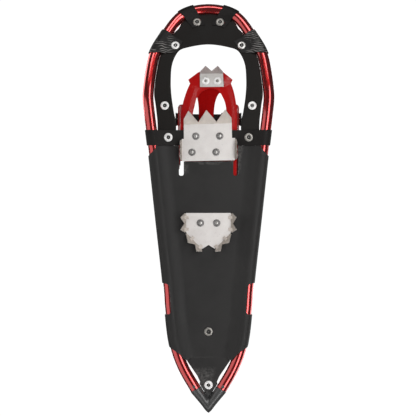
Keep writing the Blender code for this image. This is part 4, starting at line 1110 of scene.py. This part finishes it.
def heel_claw():
    """A plate with two toothed side flanges and two toothed rear flanges either side of a V notch."""
    angle = math.radians(69.0)
    deep = tooth_depth(HEEL_CLAW_Z, angle)
    half = [(44.0, 10.0), (44.0, 46.4), (43.0, 48.6), (12.6, 79.4)]
    plate = [(0.0, 71.6)] + [(-x, y) for x, y in reversed(half)] + [(-43.4, 8.8), (43.4, 8.8)] + half
    teeth = (deep - 0.5, deep, 4.0, deep - 0.5, deep)
    side = list(zip((37.0, 31.9, 31.0, 19.5, 8.1, 7.2, -0.8), (2.0, *teeth, 2.0)))
    rear = list(zip((47.0, 39.0, 38.0, 27.0, 15.6, 14.6, 1.5), (5.0, *teeth, 2.0)))
    rows = [(7, 8, angle, side, [31.0, 7.5]), (9, 10, angle, rear, [38.0, 14.5])]
    twins = []
    for (first, second, _, outline, darts), corners in zip(rows, ((3, 4), (1, 2))):
        length = math.dist(plate[first], plate[second])
        outline = [(length - t, d) for t, d in outline[::-1]]
        twins.append((*corners, angle, outline, [length - t for t in darts]))
    # The flanges take a darker tone of the plate's steel as painted shade in the folds; the darts keep the
    # lighter tooth tone.
    looks = ["claw", "heel_flange", "flange"]
    stand_in(folded_sheet("fine_heel_claw", HEEL_CLAW_Z, plate, rows + twins, looks), "heel_claw")


def ball_claw():
    """A plate with three front teeth and a toothed flange down each side."""
    angle, steep = math.radians(42.0), math.radians(86.0)
    deep = tooth_depth(BALL_CLAW_Z, angle) - 0.7
    fall = tooth_depth(BALL_CLAW_Z, steep)
    plate = [(-48.6, -164.6), (-48.6, -136.6), (-52.4, -136.6), (-52.4, -134.6), (-52.4, -95.0),
             (-51.4, -92.8), (51.4, -94.8), (52.4, -96.6), (52.4, -136.6), (52.4, -138.6), (46.2, -138.6),
             (45.6, -167.6)]
    width = math.dist(plate[0], plate[-1])
    front = [(width - 0.3, 11.5), (84.6, deep), (83.4, deep), (65.6, 3.0), (49.5, deep), (48.3, deep),
             (29.9, 3.0), (12.8, deep), (11.6, deep), (0.3, 11.5)]
    pitch = BALL_SIDE_LENGTH / 3
    saw = [(BALL_SIDE_LENGTH, 2.5)]
    for k in (2, 1, 0):
        saw += [((k + 0.5) * pitch, fall), (k * pitch, 6.0 if k else 2.5)]
    flanges = [(11, 0, angle, front, []), (3, 4, steep, saw, []), (7, 8, steep, saw, [])]
    # The front teeth and the steep side flanges take darker tones of the plate's steel as painted shade.
    looks = ["claw", "flange", "side_flange"]
    stand_in(folded_sheet("fine_ball_claw", BALL_CLAW_Z, plate, flanges, looks), "ball_claw")


def toe_claw():
    """A small plate with two teeth."""
    angle = math.radians(64.0)
    deep = tooth_depth(TOE_CLAW_Z, angle, 2.5)
    plate = [(-16.9, -265.2), (-16.6, -238.9), (29.9, -239.4), (28.4, -265.2)]
    front = [(45.3, 3.5), (34.1, deep), (22.4, 5.5), (10.5, deep), (0.0, 3.5)]
    # The teeth take a darker tone of the plate's steel as painted shade.
    looks = ["toe_plate", "toe_flange"]
    stand_in(folded_sheet("fine_toe_claw", TOE_CLAW_Z, plate, [(3, 0, angle, front, [])], looks), "toe_claw")


# ---- Binding ----

BASE_LEFT = [
    (-19.3, -268.6), (-39.9, -253.4), (-36.4, -245.8), (-42.5, -232.0), (-48.0, -216.0), (-51.2, -203.0),
    (-54.0, -185.0), (-55.0, -160.0), (-54.0, -120.0), (-53.4, -97.0), (-46.5, -92.0),
]
BASE_RIGHT = [
    (47.5, -66.0), (55.0, -62.0), (55.0, -120.0), (55.4, -160.0), (55.6, -185.0), (54.7, -203.0),
    (52.0, -220.0), (48.6, -234.0), (44.2, -245.8), (47.4, -253.4), (29.9, -267.6),
]
LEFT_WINDOW = [
    (-22.8, -218.4), (-27.0, -203.0), (-30.9, -186.0), (-31.2, -172.0), (-19.6, -172.0), (-19.3, -186.0),
    (-19.8, -203.0),
]
RIGHT_WINDOW = [
    (22.2, -227.3), (16.5, -219.0), (12.4, -205.0), (10.9, -190.0), (10.9, -172.0), (31.0, -172.0),
    (34.4, -184.0), (34.6, -197.0), (31.8, -210.0), (27.4, -220.0),
]
LEFT_RIB_EDGE = [(-15.0, -244.0), (-21.5, -222.0), *LEFT_WINDOW[:3], (-31.2, -160.0)]
RIGHT_RIB_EDGE = [(20.0, -244.0), (23.5, -228.0), (31.8, -210.0), (34.6, -197.0), (34.4, -184.0),
                  (31.5, -160.0)]
TOE_BAR_FACETS = [
    ([(-19.6, -267.6), (-38.6, -253.4), (-35.4, -246.8), (-17.4, -238.6)],
     [(-17.6, -264.4), (-24.0, -254.0), (-22.5, -250.0), (-17.4, -242.4)]),
    ([(30.2, -266.6), (46.0, -253.4), (43.0, -246.8), (30.4, -238.6)],
     [(30.3, -264.0), (36.0, -254.4), (35.0, -250.0), (30.4, -242.4)]),
]


def arm_rib(outer, inner, depth):
    """A roof-shaped rib under one arm of the base, between its outer and inner edges."""
    outer, inner = np.array(outer, float), np.array(inner, float)
    top = BASE_Z[0] + 0.5
    rings = []
    for y in np.linspace(-241.0, -160.0, 28):
        a, b = [float(np.interp(y, edge[:, 1], edge[:, 0])) for edge in (outer, inner)]
        a, b = a + 0.06 * (b - a), b - 0.06 * (b - a)
        low = BASE_Z[0] - depth * min(1.0, (y + 242.0) / 8.0)
        rings.append([(a, y, top), (a + 0.38 * (b - a), y, low), (a + 0.62 * (b - a), y, low), (b, y, top)])
    return loft("rib", rings)


def base_spine(base):
    """Sinks the spine between the arms, with one low rib along it. The sunk faces and the rib get a darker,
    less glossy red: painted shade in the channel.
    """
    looks = ["red_plastic", "dark_red"]
    crescent = [(-21.6, -213.0), (-18.5, -223.0), (-9.0, -232.0), (5.0, -236.0), (17.0, -233.0),
                (21.6, -228.2)]
    sunk = [*smooth_path(crescent, 5), (17.4, -219.0), (13.6, -204.0), (12.4, -172.0), (-21.4, -172.0),
            (-21.4, -203.0)]
    rib = [(-5.2, -229.0), (-3.0, -230.0), (-3.4, -172.0), (-5.0, -172.0)]
    under = BASE_Z[0]
    combine(base, paint(slab("sunk", sunk, under - 2.0, under + 1.5, looks), 1), "DIFFERENCE")
    combine(base, paint(slab("spine_rib", rib, under + 0.9, under + 1.8, looks), 1), "UNION")


def binding_base():
    """A moulded plate: a facetted toe bar, two ribbed arms and a sunk spine, one plate under the foot."""
    outline = [*BASE_LEFT[:2], *smooth_path(BASE_LEFT[2:10], 5), BASE_LEFT[10], BASE_RIGHT[0],
               *smooth_path(BASE_RIGHT[1:9], 5), *BASE_RIGHT[9:]]
    base = slab("fine_binding_base", outline, *BASE_Z, ["red_plastic", "dark_red"])
    for window in (LEFT_WINDOW, RIGHT_WINDOW):
        edge = even_path(smooth_path(window, 5, closed=True), 2.0)
        combine(base, slab("window", edge, 20.0, 40.0), "DIFFERENCE")
    combine(base, arm_rib(BASE_LEFT[2:8], LEFT_RIB_EDGE, 2.2), "UNION")
    combine(base, arm_rib(BASE_RIGHT[8:2:-1], RIGHT_RIB_EDGE, 0.8), "UNION")
    top, low = BASE_Z[0] + 0.4, BASE_Z[0] - 1.9
    for rim, crown in TOE_BAR_FACETS:
        facet = loft("facet", [[(x, y, top) for x, y in rim], [(x, y, low) for x, y in crown]])
        combine(base, facet, "UNION")
    base_spine(base)
    for x, y in BALL_RIVETS + TOE_RIVETS:
        drill(base, (x, y, 10.0), (x, y, 50.0))
    stand_in(round_edges(base, 0.45, 2, 30.0), "binding_base")


def foot_pad():
    """A ribbed rubber pad under the boot, with room round the rivet heads."""
    front, back = PAD_Y
    edge = [(35.0, front), (39.0, -177.0), (41.0, -160.0), (41.6, -120.0), (41.0, -90.0), (35.0, back)]
    edge = np.array(smooth_path(edge))
    low, high = PAD_Z
    rings = []
    for y in np.linspace(front + 0.1, back - 0.1, 203):
        wide = float(np.interp(y, edge[:, 1], edge[:, 0]))
        ridge = 0.5 + 0.5 * math.cos(2 * math.pi * (y + 131.0) / PAD_RIB_PITCH)
        inside = y - front >= PAD_RIM and back - y >= PAD_RIM
        top = high - 1.1 * (1 - min(1.0, 1.6 * ridge)) if inside else high
        inset = wide - 3.5
        half = [(wide, low), (wide, high - 0.6), (wide - 0.6, high), (inset, high), (inset - 0.5, top)]
        rings.append([(x, y, z) for x, z in half + [(-x, z) for x, z in half[::-1]]])
    pad = loft("fine_foot_pad", rings, ["pad"])
    for x, y in BALL_RIVETS:
        drill(pad, (x, y, 25.0), (x, y, 50.0), PAD_HOLE_R, 40)
    stand_in(shade(pad, 40.0), "foot_pad")


def wing_height(y):
    """The top edge of a wing along the shoe."""
    stops = [WING_START_Y, -200.0, -193.0, -185.0, -176.0, -120.0, -110.0, -102.0, -94.0, -84.0, -78.0, -62.0]
    tops = [41.0, 56.0, 70.0, 77.0, WING_TOP, WING_TOP, 77.0, 73.0, 68.0, 66.0, 60.0, 38.0]
    return float(np.interp(y, stops, tops))


def wing(side, label):
    """A curved side wing, which stands on the base's edge with a flat foot."""
    section = np.array(smooth_path(WING_SECTION))
    stops = np.linspace(WING_START_Y, WING_END_Y[side], 84)
    columns = 34
    points = []
    for y in stops:
        cut = section[section[:, 1] <= wing_height(y)]
        along = lengths_along(cut)
        points += [(side * a, y, b) for a, b in on_path(np.linspace(0.0, along[-1], columns), along, cut)]
    corners = [i * columns + k for i in range(len(stops) - 1) for k in range(columns - 1)]
    faces = [(a, a + 1, a + columns + 1, a + columns) for a in corners]
    piece = solidify(new_mesh(f"fine_wing_{label}", points, faces, ["red_plastic"]), WING_THICK)
    if side < 0:
        (x0, y0, z0), (x1, y1, z1) = EAR_CUT
        ear = [(y0, z0), (y1, z0), (y1, z1 + 6.0), (y0 + 6.0, z1), (y0, z1 - 6.0)]
        combine(piece, loft("ear", [[(-x, y, z) for y, z in ear] for x in (x0, x1)]), "DIFFERENCE")
    for y in WING_RIVET_Y:
        drill(piece, (side * WING_RIVET_X, y, 20.0), (side * WING_RIVET_X, y, 45.0))
    for y, z in ((TOE_STRAP_Y, STRAP_RIVET_Z), (INSTEP_STRAP_Y, STRAP_RIVET_Z), HEEL_PIN):
        drill(piece, (side * 50.0, y, z), (side * 75.0, y, z))
    stand_in(round_edges(piece, 0.6, 2, 50.0), f"wing_{label}")


# ---- Harness ----

BUCKLE_HALF = 12.0
BUCKLE_FLOOR = 1.5
CHEEK = 2.2
AXLE_R = 1.4
AXLE_HOLE_R = 1.8
LEVER_PIVOT = (-7.5, 4.6)
LEVER_TOP = [
    (17.5, 0.6), (15.6, 0.95), (15.0, 0.4), (14.4, 0.4), (13.8, 1.05), (13.0, 1.05), (12.4, 0.5), (11.8, 0.5),
    (11.2, 1.15), (10.4, 1.15), (9.8, 0.6), (9.2, 0.6), (8.6, 1.2),
]
HEEL_BUCKLE_AT = (64.8, -58.0, 56.6)
HEEL_BUCKLE_ALONG = (0.0, 0.9983, 0.0581)


def foot_strap(node, y, share_from, share_to, lift_from=None):
    """A strap over the boot between two shares of the arch, -1 at the left wing and 1 at the right.

    Past the share lift_from, it rises by its own thickness to lie over the short end under it."""
    whole = np.array(mirrored(smooth_path(STRAP_ARCH)[::-1]))
    lengths = lengths_along(whole)
    path = []
    for share in np.linspace(share_from, share_to, 90):
        here, ahead = on_path((np.array((share, share + 0.01)) + 1) / 2 * lengths[-1], lengths, whole)
        way = unit(ahead - here)
        lift = 0.0
        if lift_from is not None:
            t = min(1.0, max(0.0, (share - lift_from) / 0.08))
            lift = (STRAP_T + 0.4) * t * t * (3 - 2 * t)
        path.append(here + np.array((-way[1], way[0])) * lift)
    path = np.array(path)
    path[1:-1] = (path[:-2] + 2 * path[1:-1] + path[2:]) / 4
    wide = STRAP_WIDE / 2
    edge = [(wide, 0.55), (wide - 0.5, 1.0), (wide - 2.6, 1.0), (wide - 3.2, 0.78)]
    rings = []
    for across, thick in [(-a, share) for a, share in edge] + edge[::-1]:
        rings.append([(x, y + across, z) for x, z in thicken(path, STRAP_T * thick)])
    stand_in(shade(loft("fine_" + node, rings, ["webbing"]), 40.0), node)




class StrapPlace:
    """Directions at a place on a strap: along it, across it and out from the boot."""

    def __init__(self, origin, along, out):
        self.origin, self.along, self.out = (np.array(v, float) for v in (origin, along, out))
        self.across = np.cross(self.out, self.along)

    def at(self, a, b, c):
        return self.origin + self.along * a + self.across * b + self.out * c

    def bar(self, name, outline, ends, looks=()):
        """A bar across the strap, with an (along, out) outline, between two distances across."""
        return loft(name, [[self.at(a, b, c) for a, c in outline] for b in ends], looks)

    def axle(self, height, reach, radius):
        """The lever's round axle, a height above the strap's middle."""
        return cylinder(*[self.at(LEVER_PIVOT[0], b, height) for b in (-reach, reach)], radius)


def buckle(label, place, wide, thick):
    """A cam buckle round a strap, and its lever, which lies flat along the strap at rest."""
    room = wide / 2 + 0.4
    side = room + CHEEK
    clear = thick / 2 + GAP
    base, top = clear + BUCKLE_FLOOR, thick / 2 + 8.5
    outline = [(-side, -base), (side, -base), (side, top), (room, top), (room, base), (-room, base),
               (-room, top), (-side, top)]
    rings = [[place.at(a, b, c) for b, c in outline] for a in (-BUCKLE_HALF, BUCKLE_HALF)]
    body = loft(f"fine_{label}_buckle", rings, ["black_plastic"])
    window = [(-20, -clear), (20, -clear), (20, clear), (-20, clear)]
    corner = [(6.0, top + 2.0), (14.0, top + 2.0), (14.0, base + 1.5), (9.0, base + 5.5)]
    for cut, ends in ((window, (-room, room)), (corner, (-side - 1.0, -room + 0.2)),
                      (corner, (room - 0.2, side + 1.0))):
        combine(body, place.bar("cut", cut, ends), "DIFFERENCE")
    low = thick / 2 + LEVER_PIVOT[1]
    combine(body, place.axle(low, side + 3, AXLE_HOLE_R), "DIFFERENCE")
    stand_in(round_edges(body, 0.5, 2, 40.0), f"{label}_buckle")
    grooves = [(x, low + up) for x, up in LEVER_TOP]
    profile = [(-9.8, low - 0.5), (-8.6, low - 2.2), (-6.0, low - 2.2), (-3.5, low - 1.0), (8.0, low - 1.2),
               (17.0, low - 0.6), *grooves, (-3.5, low + 2.2), (-8.0, low + 2.4), (-9.8, low + 1.0)]
    lever = place.bar(f"fine_{label}_lever", profile, (GAP - room, room - GAP), ["red_plastic"])
    combine(lever, place.axle(low, side - 0.2, AXLE_R), "UNION")
    stand_in(round_edges(lever, 0.3, 2, 40.0), f"{label}_lever")


def heel_strap():
    """A ribbed strap from the right pin round behind the boot's heel to the left pin."""
    half = smooth_path(HEEL_ROUTE)
    whole = even_path([*half[:-1], *[p * FLIP for p in half[::-1]]], HEEL_STEP)
    last = len(whole) - 1
    thick = HEEL_T / 2
    groove = thick * 0.72
    rings = []
    for i, point in enumerate(whole):
        ahead = whole[min(i + 1, last)] - whole[max(i - 1, 0)]
        out = np.cross(unit(ahead), (0.0, 0.0, 1.0))
        out[2] = 0.0
        near_end = min(1.0, min(i, last - i) * HEEL_STEP / HEEL_END_ROUND)
        tall = HEEL_WIDE / 2 * (0.62 + 0.38 * math.sin(near_end * math.pi / 2))
        shape = [(-thick * 0.5, -tall), (thick * 0.5, -tall), (thick, -tall + 0.7), (thick, -tall * 0.62),
                 (groove, -tall * 0.54), (groove, tall * 0.54), (thick, tall * 0.62), (thick, tall - 0.7),
                 (thick * 0.5, tall), (-thick * 0.5, tall), (-thick, tall - 0.7), (-thick, -tall + 0.7)]
        rings.append(placed(point, unit(out), np.array((0.0, 0.0, 1.0)), shape))
    stand_in(shade(loft("fine_heel_strap", rings, ["webbing"]), 30.0), "heel_strap")


def harness():
    """The straps and buckles over the boot and round its heel."""
    arch = smooth_path(STRAP_ARCH, 5)
    i = min(range(len(arch)), key=lambda k: abs(arch[k][0] - BUCKLE_X))
    spot = arch[i]
    along = unit(arch[i - 1] - spot)
    along = np.array((along[0], 0.0, along[1]))
    out = np.array((-along[2], 0.0, along[0]))
    for label, y in (("toe", TOE_STRAP_Y), ("instep", INSTEP_STRAP_Y)):
        foot_strap(f"{label}_strap", y, -0.999, 0.68, 0.16)
        foot_strap(f"{label}_strap_tab", y, 0.30, 0.985)
        middle = np.array((spot[0], y, spot[1])) + out * (STRAP_T + GAP) / 2
        buckle(label, StrapPlace(middle, along, out), STRAP_WIDE, 2 * STRAP_T + 2.0)
        for side, where in SIDES:
            outer = STRAP_SIDE_X + STRAP_T / 2 + 0.5
            side_rivet(f"{label}_strap_rivet_{where}", side, y, STRAP_RIVET_Z, 57.8, outer)
    for side, where in SIDES:
        side_rivet(f"heel_pin_{where}", side, *HEEL_PIN, 56.2, HEEL_ROUTE[0][0] + HEEL_T / 2)
    buckle("heel", StrapPlace(HEEL_BUCKLE_AT, HEEL_BUCKLE_ALONG, (1.0, 0.0, 0.0)), HEEL_WIDE, HEEL_T + 1.2)
    heel_strap()


# ---- Stage, lights and camera ----

def mix_shaders(tree, end, share, first, second):
    """Ends a node tree in a mix of two shaders."""
    mix = tree.nodes.new("ShaderNodeMixShader")
    for socket, value in zip(mix.inputs, (share, first, second)):
        tree.links.new(value, socket)
    tree.links.new(mix.outputs[0], tree.nodes[end].inputs["Surface"])


def floor():
    """A pale floor under the claws. It has one side, so the shoe can be seen from below."""
    mesh = bpy.data.meshes.new("floor")
    corners = [(-1, -1), (1, -1), (1, 1), (-1, 1)]
    mesh.from_pydata([(x * FLOOR_REACH, y * FLOOR_REACH, 0) for x, y in corners], [], [(0, 1, 2, 3)])
    look = Look("floor", Base_Color=FLOOR_GREY, Roughness=0.9, Emission_Color=WHITE, Emission_Strength=0.25)
    facing = look.node("ShaderNodeNewGeometry").outputs["Backfacing"]
    clear = look.node("ShaderNodeBsdfTransparent")
    mix_shaders(look.tree, "Material Output", facing, look.shader.outputs[0], clear.outputs[0])
    mesh.materials.append(look.material)
    ground = link("floor", mesh)
    ground.visible_shadow = False
    ground.visible_diffuse = False
    ground.visible_glossy = False
    ground.visible_transmission = False


def softbox(name, place, size, radiance):
    """A rectangular light that faces the shoe.

    The first number of its size is its level side: along the shoe for a light beside it, else across."""
    beside = abs(place[0]) > abs(place[1])
    data = bpy.data.lights.new(name, "AREA")
    data.shape = "RECTANGLE"
    data.size, data.size_y = size[::-1] if beside else size
    data.energy = radiance * math.pi * size[0] * size[1]
    away = unit(np.array(place))
    level = np.array((0.0, 1.0, 0.0) if beside else (1.0, 0.0, 0.0))
    level = unit(level - away * (level @ away))
    columns = (np.cross(level, away), level, away) if beside else (level, np.cross(away, level), away)
    lamp = link(name, data)
    lamp.matrix_world = Matrix.Translation(place) @ Matrix(np.stack(columns, axis=1).tolist()).to_4x4()
    lamp.visible_camera = False


def studio():
    """Soft light from large boxes, and a plain pale backdrop that lights the shoe far less than it shows."""
    world = bpy.data.worlds.new("studio")
    bpy.context.scene.world = world
    world.use_nodes = True
    tree = world.node_tree
    sky, seen = tree.nodes["Background"], tree.nodes.new("ShaderNodeBackground")
    for shader, strength in ((sky, SKY_LIGHT), (seen, SKY_SEEN)):
        shader.inputs["Color"].default_value = WHITE
        shader.inputs["Strength"].default_value = strength
    camera_ray = tree.nodes.new("ShaderNodeLightPath").outputs["Is Camera Ray"]
    mix_shaders(tree, "World Output", camera_ray, sky.outputs[0], seen.outputs[0])
    softbox("left_wall", (-1.42, 0.35, -0.86), (2.5, 2.2), 0.83)
    softbox("right_strip", (0.44, 0.0, -0.74), (1.8, 0.38), 3.4)
    softbox("front_strip", (0.0, -1.35, -0.75), (1.1, 0.36), 3.6)
    softbox("rear_strip", (0.0, 1.4, -0.8), (1.6, 0.4), 1.8)
    softbox("over_left", (-1.9, -0.9, 1.1), (1.6, 1.2), 2.6)
    softbox("over_right", (1.9, 0.8, 1.2), (1.6, 1.2), 2.4)
    softbox("overhead", (0.0, 0.0, 2.6), (2.2, 2.2), 2.6)


def camera():
    """Straight below the middle of the frame, looking up, with the toe at the top of the picture."""
    data = bpy.data.cameras.new("camera")
    data.lens = CAMERA_LENS
    data.sensor_width = 36.0
    data.clip_end = 50.0
    eye = link("camera", data)
    eye.location = (CAMERA_AIM[0], CAMERA_AIM[1], CAMERA_AIM[2] - CAMERA_AWAY)
    eye.rotation_euler = (math.pi, 0.0, 0.0)
    bpy.context.scene.camera = eye


def build():
    """Every piece of the shoe."""
    frame_tube()
    tail_pins()
    tail_cap()
    toe_deck()
    main_deck()
    for side, label in SIDES:
        tube_strap(f"front_strap_{label}", (side * FRONT_RIVET[0], FRONT_RIVET[1]), 29.0, 42.0, 12.0, "strap")
        tube_strap(f"side_strap_{label}", (side * SIDE_RIVET[0], SIDE_RIVET[1]), 54.0, 30.0, 11.5, "print")
    toe_cord()
    heel_claw()
    ball_claw()
    toe_claw()
    frame_rivets()
    binding_rivets()
    binding_base()
    foot_pad()
    for side, label in SIDES:
        wing(side, label)
    harness()


build()
floor()
studio()
camera()
bpy.context.scene.view_settings.view_transform = "Standard"
